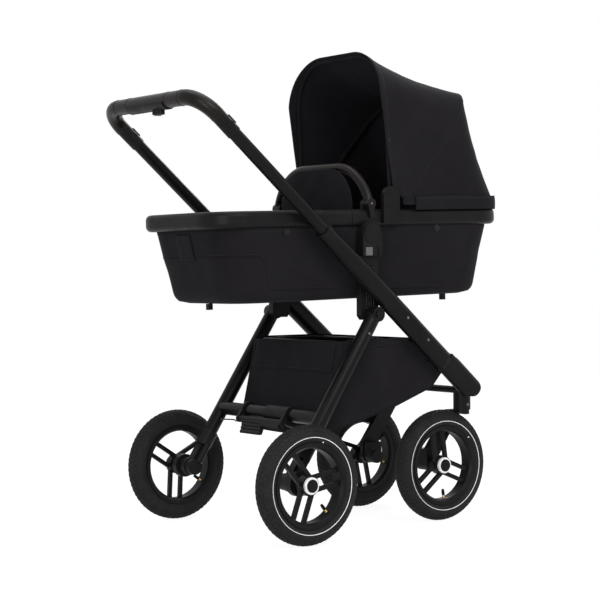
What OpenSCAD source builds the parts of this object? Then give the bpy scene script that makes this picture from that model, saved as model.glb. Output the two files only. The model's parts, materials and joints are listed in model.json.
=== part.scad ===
// Pram: folding chassis with four air tyres, telescopic push handle, shopping basket,
// and a lift-off carrycot with a folding hood. The pram travels towards -Y, the handle is at +Y,
// the left side is +X. Ground at Z = 0.

/* [Wheels] */
// Outer diameter of all four tyres
wheel_d = 280; // [260:2:300]
// Width of a tyre
tyre_w = 48; // [40:1:52]
// Height of the tyre from its bead to the tread
tyre_h = 43; // [38:1:48]
// Distance from a main tube's centre plane out to a rear wheel's plane
wheel_out = 70; // [66:1:84]
// Distance from a main tube's centre plane in to a caster's steering axis
caster_in = 49; // [45:1:54]
// Distance from the front axles to the rear axles
wheelbase = 505; // [495:5:515]
// Distance from a caster's steering axis back to its axle
caster_trail = 75; // [70:1:78]
// Diameter of the wheel axles
axle_d = 12; // [10:1:14]
// Gap between the two spokes of a pair, centre to centre
spoke_gap = 31; // [26:1:36]
// Width of a spoke
spoke_w = 10; // [8:1:12]

/* [Main frame] */
// Distance from the carrycot's side out to a main tube's centre plane
frame_side = 22; // [21:1:26]
// Slope of the main tubes above the ground
frame_angle = 41; // [40.5:0.1:41.5]
// Height of the front crossbar above the tops of the wheels
crossbar_up = 47; // [45:1:54]
// Depth of the lower main tube
main_h = 50; // [46:1:54]
// Width of the lower main tube
main_w = 36; // [36:1:38]
// Diameter of the telescopic upper tube
upper_d = 31; // [28:0.5:31]
// Wall of the upper tube
upper_wall = 2.5; // [1.5:0.5:4]
// Diameter of the rear legs and of the rear crossbar
leg_d = 36; // [32:1:36]
// Wall of a rear leg
leg_wall = 3; // [2:0.5:5]
// Distance along the main tube from the rear hinge to the front cap
nose_reach = 290; // [280:2:296]

/* [Handle] */
// Length of upper tube that shows between the collar and the handle bracket
handle_out = 333; // [310:1:345]
// Distance along the main tube from the rear hinge to the telescope collar
collar_reach = 190; // [180:2:200]
// Distance from the handle bracket to the axis of the handle bar
handle_rise = 67; // [66:1:80]
// Radius of the corners of the handle bar
handle_corner = 64; // [50:1:66]
// Diameter of the covered handle bar
grip_d = 37; // [33:1:40]
// Diameter of the bare bar under its cover
bar_d = 24; // [20:1:28]

/* [Carrycot] */
// Length over the rim
cot_l = 900; // [880:5:910]
// Width over the rim. The frame, the hood and the basket follow it
cot_w = 380; // [350:5:420]
// Plan radius of the rim's corners
cot_corner = 90; // [80:2:110]
// Height of the rim tube
rim_h = 41; // [36:1:44]
// Thickness of the rim tube
rim_t = 26; // [22:1:28]
// Height from the rim's centre down to the underside of the body
cot_depth = 196; // [180:2:206]
// How far the ends of the body lean in from rim to underside
cot_taper = 40; // [30:2:50]
// How far the sides of the body lean in from rim to underside
cot_side_taper = 14; // [8:1:24]
// Thickness of the padded body wall
cot_wall = 8; // [6:1:12]
// Height of the rim's centre above the main tube's axis over the rear hinge
cot_up = 166; // [161:1:180]
// Tilt of the carrycot, head end up
cot_pitch = 1.5; // [0:0.1:2]
// Thickness of the mattress
mattress_h = 40; // [30:1:50]

/* [Hood] */
// How far the hood's rear edge reaches past the rim
hood_past = 2; // [0:1:8]
// How much further than the rear edge the cloth reaches over the middle bow
mid_more = 7; // [0:1:10]
// How much less than the rear edge the cloth reaches over the front bow
front_less = 4; // [0:1:12]
// How far the hood stands out past the rim on each side
hood_over = 1; // [0:0.5:3]
// Radius of the hood's corners at its rear edge
hood_corner = 96; // [80:2:110]
// Radius of the hood's corners over the middle bow
mid_corner = 80; // [70:2:100]
// Radius of the hood's corners over the front bow
front_corner = 125; // [100:1:130]
// Thickness of the hood cloth in the model
cloth_t = 4; // [3:0.5:6]
// Angle of the front bow above the rim
front_bow_angle = 91; // [80:1:94]
// Angle of the middle bow above the rim
mid_bow_angle = 46.5; // [44:0.5:50]
// Angle of the hood's front edge at the sides
hood_lean = 97; // [95:0.5:98]
// How far the hood cloth dips between two bows
hood_dip = 13; // [0:1:18]
// Diameter of a hood bow
bow_d = 9; // [7:0.5:10]

/* [Basket] */
// Distance from a main tube's centre plane in to the basket's side
basket_in = 26; // [25:1:36]
// How far the basket's rim lies below the main tube's axis over the rear hinge
basket_drop = 127; // [123:1:133]
// Thickness of the basket cloth in the model
basket_wall = 4; // [3:0.5:6]

/* [Hidden] */

$fn = 64;

// Clearances: a shaft in its bore, and a piece on its seat
run_gap = 0.05;
seat_gap = 0.3;

// Main tube: its upper end is round, and it deepens downwards
collar_l = 14;
bracket_l = 56;
bracket_d = upper_d + 4;
cap_l = 131;
cap_rise = 7.5;
taper_l = 165;
upper_hidden = 110;
half_frame = cot_w / 2 + frame_side;
// The front crossbar runs through the caps on the main tubes' axis and carries the casters
crossbar_along = nose_reach + cap_l - 14.22;
crossbar_z = wheel_d + crossbar_up;
frame_z = crossbar_z + 1.13 + crossbar_along * sin(frame_angle);
rear_track = 2 * (half_frame + wheel_out);
front_track = 2 * (half_frame - caster_in);
cot_z = frame_z + cot_up;
bar_reach = collar_reach + collar_l + handle_out + bracket_l + handle_rise;

// Hinge of the rear legs, below the main tube. The model is centred between the handle bar
// and the head end of the hood.
hinge_drop = 68;
cot_fore = 12;
hood_fore = 64;
hood_up = 30;
hood_r = cot_l / 2 - hood_fore + hood_past;
mid_r = hood_r + mid_more;
front_r = hood_r - front_less;
hood_w = cot_w + 2 * hood_over;
back_reach = bar_reach * cos(frame_angle) + grip_d / 2;
head_reach = cot_fore + (hood_fore + hood_r) * cos(cot_pitch) - hood_up * sin(cot_pitch);
hinge_y = (head_reach - back_reach) / 2;
hinge_z = frame_z - hinge_drop;
crossbar_y = hinge_y - crossbar_along * cos(frame_angle);
steer_y = crossbar_y - 15;
front_y = steer_y + caster_trail;
rear_y = front_y + wheelbase;
axle_z = wheel_d / 2;
cot_y = hinge_y - cot_fore;
leg_reach = norm([rear_y - hinge_y, hinge_z - axle_z]);
leg_angle = atan2(rear_y - hinge_y, hinge_z - axle_z);
// Crossbar between the rear legs
bar_along = 293;
bar_y = hinge_y + bar_along * sin(leg_angle);
bar_z = hinge_z - bar_along * cos(leg_angle);

// Wheel
tyre_r = tyre_w / 2;
ring_r = wheel_d / 2 - tyre_r;
bead_r = wheel_d / 2 - tyre_h + 1;
rim_in_r = bead_r - 12;
rim_half = sqrt(pow(tyre_r, 2) - pow(ring_r - bead_r - 2, 2)) + 2.61;
// The spoke pairs meet inside the hub
hub_r = (spoke_gap + spoke_w) / 2 / sin(60) + 0.6;
hub_neck_r = 17;
hub_in = tyre_r + 1.5;
hub_out = 14;
cap_r = 20;
cap_t = 6.7;

// Front casters
housing_r = 22;
housing_low = crossbar_z - 51;
crossbar_d = 18;
stem_r = 8;
crown_t = 11;
blade_t = 12;
blade_in = hub_in + 1 + blade_t;

// Rear frame
drum_r = 29;
drum_t = 18;
knuckle_r = 20;
sleeve_d = leg_d + 6;
leg_tube_l = 392;
plate_out = half_frame - main_w / 2 - seat_gap;
plate_t = 18;
tongue_x = plate_out - 8;
seat_y = hinge_y - 1;

// Carrycot
body_inset = 10;
end_inset = 24;
body_round = 6;
body_top = -rim_h / 2 - seat_gap;
hood_pivot_r = 5;
adapter_r = 29;
post_base = 60;
post_tongue = 45;
carry_d = 23;
carry_h = 93.7;
carry_back = 8;
carry_up = 34;
carry_corner = 128;
carry_flat = cot_w / 2 - 124;
carry_x = carry_flat + sqrt(pow(carry_corner, 2) - pow(carry_corner - carry_h, 2));
lug_out = carry_x - carry_d / 2 + 1;
flap_y = 27;
flap_half = cot_w / 2 - 44;
flap_corner = 95;
flap_h = carry_h + 20;

// Side -1 is the right of the pram, +1 its left
RIGHT = -1;
LEFT = 1;

// Colours
c_frame = [0.09, 0.09, 0.10];
c_fabric = [0.11, 0.11, 0.13];
c_rubber = [0.12, 0.12, 0.12];
c_grip = [0.17, 0.15, 0.14];
c_grey = [0.45, 0.45, 0.46];
c_white = [0.85, 0.85, 0.85];
c_steel = [0.6, 0.6, 0.62];

// ---- Helpers ----

// Long round-ended section, w wide and h deep
module stadium(w, h) {
    square([w, h - w], center = true);
    for (s = [-1, 1]) translate([0, s * (h - w) / 2]) circle(d = w);
}

// Rectangle with round corners
module rounded_rect(w, l, r) {
    square([w - 2 * r, l], center = true);
    square([w, l - 2 * r], center = true);
    for (sx = [-1, 1]) for (sy = [-1, 1])
        translate([sx * (w / 2 - r), sy * (l / 2 - r)]) circle(r = r);
}

// Cylinder from point a to point b
module rod(a, b, d) {
    v = b - a;
    len = norm(v);
    translate(a) rotate([0, acos(v[2] / len), atan2(v[1], v[0])]) cylinder(d = d, h = len);
}

// Cylinder along X from x0 to x1
module axis_x(x0, x1, r) {
    translate([min(x0, x1), 0, 0]) rotate([0, 90, 0]) cylinder(r = r, h = abs(x1 - x0));
}

// Frame of one main tube: +Y runs up the tube, +Z stands square on it
module tube_frame(side) {
    translate([side * half_frame, hinge_y, frame_z]) rotate([frame_angle, 0, 0]) children();
}

// The same frame in the middle of the pram, shared by the handle and the basket's studs
module tube_plane() {
    translate([0, hinge_y, frame_z]) rotate([frame_angle, 0, 0]) children();
}

// Extrudes a section along +Y from y0 to y1
module along_y(y0, y1) {
    translate([0, y1, 0]) rotate([90, 0, 0]) linear_extrude(height = y1 - y0) children();
}

// Frame of a rear leg: -Z runs down the leg from the hinge
module leg_frame(side) {
    translate([side * half_frame, hinge_y, hinge_z]) rotate([leg_angle, 0, 0]) children();
}

// Frame of a wheel: +Z points outwards along the axle, angles run from +Y to +Z of the pram
module wheel_frame(side, track, y, phase = 0) {
    translate([side * track / 2, y, axle_z]) mirror([side < 0 ? 1 : 0, 0, 0])
        rotate([90, 0, 90]) rotate([0, 0, phase]) children();
}

// Frame of the carrycot: origin at the centre of the rim
module cot_frame() {
    translate([0, cot_y, cot_z]) rotate([-cot_pitch, 0, 0]) children();
}

// Frame of the hood: origin at the hood pivot
module hood_frame() {
    cot_frame() translate([0, -hood_fore, hood_up]) children();
}

// Places a child on the chosen side, mirrored for the right
module on_side(side) {
    mirror([side < 0 ? 1 : 0, 0, 0]) children();
}

// Closed loop with round corners whose section is the child, x outwards and y up
module loop_sweep(w, l, r) {
    for (sx = [-1, 1]) for (sy = [-1, 1])
        translate([sx * (w / 2 - r), sy * (l / 2 - r), 0])
            rotate([0, 0, sy > 0 ? (sx > 0 ? 0 : 90) : (sx > 0 ? 270 : 180)])
                rotate_extrude(angle = 90) translate([r, 0]) children();
    for (a = [0, 180]) rotate([0, 0, a]) {
        translate([w / 2, l / 2 - r, 0]) rotate([90, 0, 0]) linear_extrude(height = l - 2 * r) children();
        translate([-w / 2 + r, l / 2, 0]) rotate([90, 0, 90]) linear_extrude(height = w - 2 * r) children();
    }
}

// U-shaped bow in the XY plane: two arms along +Y at x = +-half, a cross piece at y = reach
module bow(half, reach, corner, d, start) {
    for (s = [-1, 1]) {
        rod([s * half, start, 0], [s * half, reach - corner, 0], d);
        translate([s * (half - corner), reach - corner, 0]) rotate([0, 0, s > 0 ? 0 : 90])
            rotate_extrude(angle = 90) translate([corner, 0]) circle(d = d);
    }
    rod([-(half - corner), reach, 0], [half - corner, reach, 0], d);
}

// ---- Chassis ----

module main_tube(side) {
    color(c_frame) tube_frame(side) difference() {
        union() {
            along_y(-nose_reach, collar_reach - taper_l) stadium(main_w, main_h);
            hull() {
                along_y(collar_reach - taper_l - 1, collar_reach - taper_l)
                    stadium(main_w, main_h, $fn = 32);
                along_y(collar_reach - 1, collar_reach) stadium(main_w, main_w + 2, $fn = 32);
            }
        }
        along_y(-nose_reach - 1, collar_reach + 1) circle(d = upper_d + 2 * run_gap);
    }
}

module front_caps() {
    nose_y = -nose_reach - cap_l;
    nose_r = 27;
    color(c_frame) for (side = [RIGHT, LEFT]) tube_frame(side) {
        intersection() {
            translate([0, 0, cap_rise / 2]) along_y(nose_y, -nose_reach) stadium(main_w + 0.6, main_h + cap_rise);
            rotate([90, 0, 90]) linear_extrude(height = 2 * main_w, center = true) {
                polygon([[-nose_reach, -main_h / 2], [-nose_reach, main_h / 2], [-nose_reach - 10, main_h / 2],
                    [-nose_reach - 40, main_h / 2 + cap_rise], [nose_y + nose_r, main_h / 2 + cap_rise],
                    [nose_y + nose_r, -main_h / 2]]);
                translate([nose_y + nose_r, main_h / 2 + cap_rise - nose_r]) circle(r = nose_r);
                translate([nose_y + nose_r + 2, -main_h / 2 + 20]) circle(r = 20);
            }
        }
        along_y(-nose_reach - 1, -nose_reach + 25) circle(d = upper_d - 0.4);
    }
}

module tube_collars() {
    color(c_frame) for (side = [RIGHT, LEFT]) tube_frame(side) difference() {
        union() {
            along_y(collar_reach, collar_reach + collar_l) circle(d = main_w + 5);
            translate([0, collar_reach + collar_l / 2, main_w / 2 - 1])
                cube([12, collar_l - 4, 8], center = true);
        }
        along_y(collar_reach - 1, collar_reach + collar_l + 1) circle(d = upper_d + 2 * run_gap);
    }
}

module front_crossbar() {
    end_x = half_frame - main_w / 2 - 0.32;
    color(c_frame) translate([0, crossbar_y, crossbar_z]) axis_x(-end_x, end_x, crossbar_d / 2);
}

module swivel_housing(side) {
    color(c_frame) difference() {
        translate([side * front_track / 2, steer_y, housing_low]) {
            cylinder(r = housing_r, h = 62);
            translate([0, 0, -0.01]) cylinder(r1 = housing_r - 2, r2 = housing_r, h = 4);
        }
        translate([side * front_track / 2, steer_y, housing_low - 1]) cylinder(r = stem_r + run_gap, h = 38);
        translate([0, crossbar_y, crossbar_z]) axis_x(-half_frame, half_frame, crossbar_d / 2 + run_gap);
    }
}

// Block of the rear hinge, with the post that carries the carrycot and the hinge pin
module leg_bracket(side) {
    x_in = plate_out - plate_t;
    half = 27;
    low = hinge_z - 14;
    top = frame_z + post_base;
    color(c_frame) on_side(side) {
        translate([x_in, 0, 0]) rotate([90, 0, 90]) linear_extrude(height = plate_t)
            polygon([[hinge_y + half, top], [hinge_y - half, top], [hinge_y - half, low + 10],
                [hinge_y - half + 8, low], [hinge_y + half - 8, low], [hinge_y + half, low + 10]]);
        translate([tongue_x, seat_y - 12, top - 1]) cube([6, 24, post_tongue + 1]);
        translate([0, hinge_y, hinge_z]) axis_x(x_in + 1, half_frame + leg_d / 2 + seat_gap + 3, 5);
        translate([half_frame + leg_d / 2 + seat_gap, hinge_y, hinge_z]) axis_x(0, 3, 9);
    }
}

// Point of the main tube's underside plane at height z, forward of the tube
function tube_y(z) = hinge_y + (z - frame_z) / tan(frame_angle);

// Moves each side of a convex outline inwards by d. Points run counter-clockwise.
function inset(p, d) = let (n = len(p)) [for (i = [0:n - 1])
    let (a = p[(i + n - 1) % n], b = p[i], c = p[(i + 1) % n],
         u = (b - a) / norm(b - a), v = (c - b) / norm(c - b),
         nu = [-u[1], u[0]], nv = [-v[1], v[0]])
    b + d * (nu + nv) / (1 + nu * nv)];

// Side outline of the basket as [y, z] points, counter-clockwise
basket_w = 2 * (half_frame - basket_in);
basket_z = frame_z - basket_drop;
basket_rear = hinge_y + 79;
basket_clip_y = tube_y(basket_z + 6);
wire_d = 8;
basket_side = [
    [basket_rear, basket_z - 8], [basket_rear - 22, basket_z], [basket_clip_y + 10, basket_z],
    [tube_y(basket_z - 90), basket_z - 90], [hinge_y - 212, basket_z - 130],
    [hinge_y - 180, basket_z - 142], [hinge_y - 99, basket_z - 171], [hinge_y - 4, basket_z - 197],
    [bar_y - 35.5, bar_z - 47.2], [bar_y - 29.5, bar_z - 31.2]];

module basket() {
    low = inset(basket_side, basket_wall);
    inner = basket_w - 2 * basket_wall;
    color(c_fabric) difference() {
        translate([-basket_w / 2, 0, 0]) rotate([90, 0, 90]) linear_extrude(height = basket_w)
            polygon(basket_side);
        translate([-inner / 2, 0, 0]) rotate([90, 0, 90]) linear_extrude(height = inner)
            polygon(concat([low[0] + [0, 60], low[2] + [0, 48]], [for (i = [2:9]) low[i]], [low[0]]));
        for (y = stud_places) for (s = [-1, 1]) basket_stud(y)
            axis_x(s * (basket_w / 2 - stud_grip - seat_gap), s * basket_w, 3 + seat_gap);
    }
}

// Wire in the basket's hem, and the studs that hold the basket to the main tubes
wire_z = basket_z - 10;
stud_places = [-190, -268];
stud_drop = 13.5;
stud_grip = 2.5;
module basket_stud(y) {
    tube_plane() translate([0, y, -stud_drop]) children();
}
module basket_frame() {
    front = basket_clip_y + 20;
    rear = basket_rear - 14;
    half = basket_w / 2 - basket_wall - wire_d / 2 - seat_gap;
    color(c_frame) {
        translate([0, (front + rear) / 2, wire_z]) loop_sweep(2 * half, rear - front, 24)
            circle(d = wire_d, $fn = 24);
        for (y = stud_places) for (s = [-1, 1]) basket_stud(y) {
            axis_x(s * (basket_w / 2 - stud_grip), s * (basket_w / 2 + 1), 3);
            axis_x(s * (basket_w / 2 + seat_gap), s * (half_frame - main_w / 2 - 0.02), 6);
        }
    }
}

// ---- Handle ----

module upper_tube(side) {
    low = collar_reach - upper_hidden;
    color(c_frame) tube_frame(side) difference() {
        along_y(low, collar_reach + collar_l + handle_out + bracket_l - 24) circle(d = upper_d);
        along_y(low - 1, collar_reach + collar_l + handle_out + bracket_l - 26)
            circle(d = upper_d - 2 * upper_wall);
    }
}

module handle_brackets() {
    low = collar_reach + collar_l + handle_out;
    color(c_frame) for (side = [RIGHT, LEFT]) tube_frame(side) difference() {
        union() {
            along_y(low, low + bracket_l) circle(d = bracket_d);
            on_side(side) translate([-8, low + 14, bracket_d / 2 - 4]) cube([16, 26, 5.5]);
            translate([0, low + 27, 0]) axis_x(-bracket_d / 2 - 1, bracket_d / 2 + 1, 9);
        }
        along_y(low - 1, low + bracket_l - 24 + 0.02) circle(d = upper_d + 2 * run_gap);
        along_y(low + bracket_l - 25, low + bracket_l + 1) circle(d = bar_d + 2 * run_gap);
    }
}

module handle_bar() {
    start = collar_reach + collar_l + handle_out + bracket_l - 24 + 0.04;
    color(c_frame) tube_plane() bow(half_frame, bar_reach, handle_corner, bar_d, start);
}

module handle_grip() {
    start = collar_reach + collar_l + handle_out + bracket_l;
    color(c_grip) tube_plane() difference() {
        bow(half_frame, bar_reach, handle_corner, grip_d, start);
        bow(half_frame, bar_reach, handle_corner, bar_d + 2 * run_gap, start - 1);
    }
}

// Shell under the middle of the handle bar that holds the fold button
button_x = -33;
button_r = 8;
button_drop = 12;
housing_half = 82;
module handle_housing() {
    inner = grip_d / 2 + 0.1;
    color(c_frame) translate([0, hinge_y + bar_reach * cos(frame_angle), frame_z + bar_reach * sin(frame_angle)])
    difference() {
        union() {
            intersection() {
                axis_x(-housing_half, housing_half, inner + 3);
                translate([-housing_half - 1, -30, -inner - 10]) cube([2 * housing_half + 2, 60, inner + 4]);
            }
            translate([button_x, 0, -inner - button_drop]) cylinder(r = button_r + 4.5, h = button_drop + 4);
            translate([button_x - 15, 0, -inner - button_drop]) cylinder(r = button_r + 1, h = button_drop + 4);
            translate([button_x - 15, -button_r - 1, -inner - button_drop])
                cube([15, 2 * button_r + 2, button_drop + 4]);
        }
        axis_x(-110, 110, inner);
        translate([button_x, 0, -inner - button_drop - 1]) cylinder(r = button_r + run_gap, h = button_drop + 3);
    }
}

module handle_button() {
    inner = grip_d / 2 + 0.1;
    color(c_grey) translate([button_x, hinge_y + bar_reach * cos(frame_angle),
        frame_z + bar_reach * sin(frame_angle) - inner - button_drop - 2]) cylinder(r = button_r, h = 7.5);
}

// ---- Rear frame ----

module rear_leg(side) {
    color(c_frame) leg_frame(side) difference() {
        union() {
            translate([0, 0, -leg_tube_l]) cylinder(d = leg_d, h = leg_tube_l);
            axis_x(-leg_d / 2 + 0.6, leg_d / 2, leg_d / 2);
        }
        translate([0, 0, -leg_tube_l - 1]) cylinder(d = leg_d - 2 * leg_wall, h = leg_tube_l - 26);
        axis_x(-leg_d, leg_d, 5 + run_gap);
    }
}

module rear_crossbar() {
    reach = half_frame - leg_d / 2 - 0.02;
    color(c_frame) translate([0, bar_y, bar_z]) difference() {
        axis_x(-half_frame, half_frame, leg_d / 2 - 1);
        for (s = [-1, 1]) translate([s * half_frame, -bar_y, -bar_z])
            translate([0, hinge_y, hinge_z]) rotate([leg_angle, 0, 0])
                translate([0, 0, -leg_tube_l]) cylinder(d = leg_d + 0.04, h = leg_tube_l);
    }
}

// Foot of a rear leg: sleeve, suspension arm, knuckle, brake drum and wheel axle
module axle_arm(side) {
    color(c_frame) {
        leg_frame(side) difference() {
            translate([0, 0, -leg_tube_l - 10]) cylinder(d = sleeve_d, h = 38);
            translate([0, 0, -leg_tube_l]) cylinder(d = leg_d + 2 * run_gap, h = 60);
        }
        leg_frame(side) translate([-11, -13, -leg_reach]) cube([22, 26, leg_reach - leg_tube_l - 5]);
        leg_frame(side) for (s = [-1, 1]) translate([-8 + s * 7.4, s * 3, -leg_reach + 14])
            cylinder(r = 9, h = leg_reach - leg_tube_l - 20);
        on_side(side) translate([half_frame, rear_y, axle_z]) {
            axis_x(-knuckle_r, rear_track / 2 - hub_in - drum_t - half_frame, knuckle_r);
            axis_x(0, rear_track / 2 - hub_in - 0.5 - half_frame, drum_r - 7);
            translate([rear_track / 2 - hub_in - drum_t - half_frame, 0, 0]) axis_x(0, drum_t - 0.5, drum_r);
            axis_x(0, rear_track / 2 + hub_out + 2 - half_frame, axle_d / 2);
        }
    }
}

// Brake: two ears clamped round the crossbar carry the pin of a foot pedal
mount_x = 92;
ear_t = 8;
pivot_y = bar_y + 27;
pivot_z = bar_z - 17;
module pedal_mount() {
    bar_r = leg_d / 2 - 1;
    color(c_frame) difference() {
        union() {
            for (s = [-1, 1]) translate([s * mount_x - ear_t / 2, 0, 0]) rotate([90, 0, 90])
                linear_extrude(height = ear_t) {
                    translate([bar_y, bar_z]) circle(r = bar_r + 6);
                    translate([pivot_y, pivot_z]) circle(r = 10);
                    polygon([[bar_y + 14, bar_z + 17], [pivot_y + 9, pivot_z + 4], [pivot_y - 2, pivot_z - 9],
                        [bar_y - 8, bar_z - 21]]);
                }
            translate([0, bar_y, bar_z]) axis_x(-mount_x + 1, -2, bar_r + 4.5);
        }
        translate([0, bar_y, bar_z]) axis_x(-200, 200, bar_r + run_gap);
        translate([0, pivot_y, pivot_z]) axis_x(-200, 200, 4);
    }
    color(c_steel) translate([0, pivot_y, pivot_z]) axis_x(-mount_x - ear_t / 2, mount_x + ear_t / 2, 4);
}

module brake_pedal() {
    half = mount_x - ear_t / 2 - 0.6;
    color(c_frame) translate([0, pivot_y, pivot_z]) difference() {
        union() {
            axis_x(-half, half, 8);
            translate([-13, 0, 0]) rotate([90, 0, 90]) linear_extrude(height = 83)
                polygon([[7, 0], [10, -5], [8, -7], [12, -13], [10, -15], [14, -21], [12, -23], [16, -29],
                    [16, -34], [7, -34], [-6, -4]]);
            translate([-half, 0, 0]) rotate([90, 0, 90]) linear_extrude(height = half - 12)
                polygon([[7, 3], [12, -10], [9, -15], [2, -15], [-6, -4]]);
        }
        axis_x(-half - 1, half + 1, 4 + run_gap);
    }
}

// Brake cable: one run from the pedal mount into each rear leg, along hand-set points of the left side
cable_d = 3.5;
cable_z = pivot_z - 10;
cable_route = [
    [mount_x + ear_t / 2 + 0.05, pivot_y - 3, pivot_z - 4], [half_frame - 87, pivot_y - 10, cable_z],
    [half_frame - caster_in, bar_y - 1, cable_z], [half_frame - leg_d / 2 - 0.05, leg_y(cable_z), cable_z]];

// Where the axis of a rear leg is at height z
function leg_y(z) = hinge_y + (hinge_z - z) * tan(leg_angle);

// Point of a Catmull-Rom spline through p at parameter t, in spans
function spline(p, t) = let (n = len(p) - 1, i = min(floor(t), n - 1), u = t - i,
    a = p[max(i - 1, 0)], b = p[i], c = p[i + 1], d = p[min(i + 2, n)])
    0.5 * ((2 * b) + (c - a) * u + (2 * a - 5 * b + 4 * c - d) * u * u + (3 * b - a - 3 * c + d) * u * u * u);

// Round tube of diameter d along the points c, with its ends square to X
module swept_tube(c, d, sides = 8) {
    n = len(c);
    function dir(i) = i == 0 || i == n - 1 ? [1, 0, 0]
        : (c[i + 1] - c[i - 1]) / norm(c[i + 1] - c[i - 1]);
    function side_of(v) = let (w = cross(v, [0.0, 1, 0.35])) w / norm(w);
    pts = [for (i = [0:n - 1]) let (v = dir(i), a = side_of(v), b = cross(v, a))
        for (k = [0:sides - 1]) c[i] + d / 2 * (cos(360 * k / sides) * a + sin(360 * k / sides) * b)];
    faces = concat(
        [[for (k = [0:sides - 1]) k]],
        [for (i = [0:n - 2]) for (k = [0:sides - 1])
            [i * sides + k, (i + 1) * sides + k, (i + 1) * sides + (k + 1) % sides, i * sides + (k + 1) % sides]],
        [[for (k = [sides - 1:-1:0]) (n - 1) * sides + k]]);
    polyhedron(pts, faces, convexity = 4);
}

module brake_cable() {
    spans = len(cable_route) - 1;
    rings = 12;
    path = [for (i = [0:rings]) spline(cable_route, spans * i / rings)];
    color(c_rubber) for (side = [RIGHT, LEFT]) on_side(side) swept_tube(path, cable_d);
}

// ---- Wheels ----

// Phases follow the way each wheel stands
function phase_of(side, front) = front ? (side < 0 ? 82 : 18) : (side < 0 ? 50 : 33);

module tyre_shape() {
    color(c_rubber) rotate_extrude($fn = 96) difference() {
        translate([ring_r, 0]) circle(r = tyre_r, $fn = 48);
        translate([0, -tyre_w]) square([bead_r, 2 * tyre_w]);
    }
}

module rim_shape() {
    seat = bead_r - run_gap;
    color(c_frame) difference() {
        union() {
            rotate_extrude($fn = 96) polygon([
                [rim_in_r, -rim_half + 6.5], [rim_in_r, rim_half - 6.5], [rim_in_r + 5, rim_half],
                [bead_r + 2, rim_half], [bead_r + 2, rim_half - 2.2], [seat, rim_half - 4.4],
                [seat, -rim_half + 4.4], [bead_r + 2, -rim_half + 2.2], [bead_r + 2, -rim_half],
                [rim_in_r + 5, -rim_half]]);
            translate([0, 0, -hub_in]) cylinder(r = hub_neck_r, h = hub_in + hub_out);
            translate([0, 0, -8]) cylinder(r = hub_r, h = hub_out + 8);
            for (i = [0:2]) rotate(120 * i) for (s = [-1, 1])
                translate([0, s * spoke_gap / 2 - spoke_w / 2, 0])
                    cube([sqrt(pow(rim_in_r + 3, 2) - pow(spoke_gap / 2, 2)), spoke_w, 9]);
            rotate(180) translate([rim_in_r + 1, 0, 0]) rotate([0, -90, 0]) cylinder(r = 2.6, h = 16, $fn = 24);
            rotate(180) translate([rim_in_r - 14, 0, 0]) rotate([0, -90, 0]) cylinder(r = 3.4, h = 9, $fn = 24);
        }
        translate([0, 0, -hub_in - 1]) cylinder(r = axle_d / 2 + run_gap, h = hub_in + hub_out + 2);
    }
}

module cap_shape() {
    color(c_white) translate([0, 0, hub_out + 0.02]) difference() {
        union() {
            cylinder(r = cap_r, h = cap_t - 1.2);
            cylinder(r = cap_r - 1.2, h = cap_t);
        }
        translate([0, 0, cap_t - 1.5]) difference() {
            cylinder(r = cap_r - 5, h = 3);
            translate([0, 0, -1]) cylinder(r = cap_r - 6.5, h = 5);
        }
        translate([0, 0, -1]) cylinder(r = axle_d / 2 + 1, h = 4);
    }
}

module rear_tyre(side) wheel_frame(side, rear_track, rear_y) tyre_shape();
module rear_rim(side) wheel_frame(side, rear_track, rear_y, phase_of(side, false)) rim_shape();
module rear_hub_cap(side) wheel_frame(side, rear_track, rear_y) cap_shape();
module front_tyre(side) wheel_frame(side, front_track, front_y) tyre_shape();
module front_rim(side) wheel_frame(side, front_track, front_y, phase_of(side, true)) rim_shape();
module front_hub_cap(side) wheel_frame(side, front_track, front_y) cap_shape();

// Single-sided caster fork: steering stem, crown over the tyre, blade on the inner side, axle
module fork(side) {
    half = front_track / 2;
    crown_low = housing_low - crown_t - 0.3;
    hub_end = blade_in + 36;
    color(c_frame) on_side(side) {
        translate([half, steer_y, housing_low - 1]) cylinder(r = stem_r, h = 34);
        difference() {
            union() {
                translate([half, steer_y, crown_low]) cylinder(r = housing_r - 3, h = crown_t);
                translate([half - blade_in + 1, steer_y - 17, crown_low]) cube([blade_in - 1, 34, crown_t]);
            }
            translate([half, front_y, axle_z]) axis_x(-tyre_r - 1, tyre_r + 1, wheel_d / 2 + 3);
        }
        translate([half - blade_in, 0, 0]) rotate([90, 0, 90]) linear_extrude(height = blade_t) {
            polygon([[steer_y - 17, crown_low + crown_t], [steer_y - 17, crown_low],
                [front_y - 20, axle_z + 20], [front_y - 20, axle_z], [front_y + 20, axle_z],
                [front_y + 20, axle_z + 40], [steer_y + 24, crown_low + crown_t]]);
            translate([front_y, axle_z]) circle(r = 20);
        }
        translate([half, front_y, axle_z]) {
            axis_x(-hub_end, -blade_in + 1, 18);
            axis_x(-blade_in, hub_out + 2, axle_d / 2);
        }
        translate([half - hub_end + 3, front_y - 16, axle_z]) cube([hub_end - blade_in - 2, 34, 38]);
    }
}

// ---- Carrycot ----

module cot_rim() {
    color(c_frame) cot_frame() {
        loop_sweep(cot_w - rim_t, cot_l - rim_t, cot_corner - rim_t / 2) stadium(rim_t, rim_h);
        for (s = [-1, 1]) on_side(s) {
            translate([(cot_w - rim_t) / 2, 0, 0]) along_y(carry_back - 33, carry_back + 53) intersection() {
                stadium(rim_t + 2.4, rim_h + 1.6);
                translate([-rim_t / 2, -rim_h / 2]) square([rim_t + 2, rim_h + 2]);
            }
            translate([lug_out - 10, carry_back - 12, rim_h / 2 - 7]) cube([10, 24, 7 + carry_up - rim_h / 2]);
            translate([0, carry_back, carry_up]) {
                axis_x(lug_out - 10, lug_out, 12);
                axis_x(lug_out - 5, carry_x + carry_d / 2 - 2, 4);
            }
        }
    }
}

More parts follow.
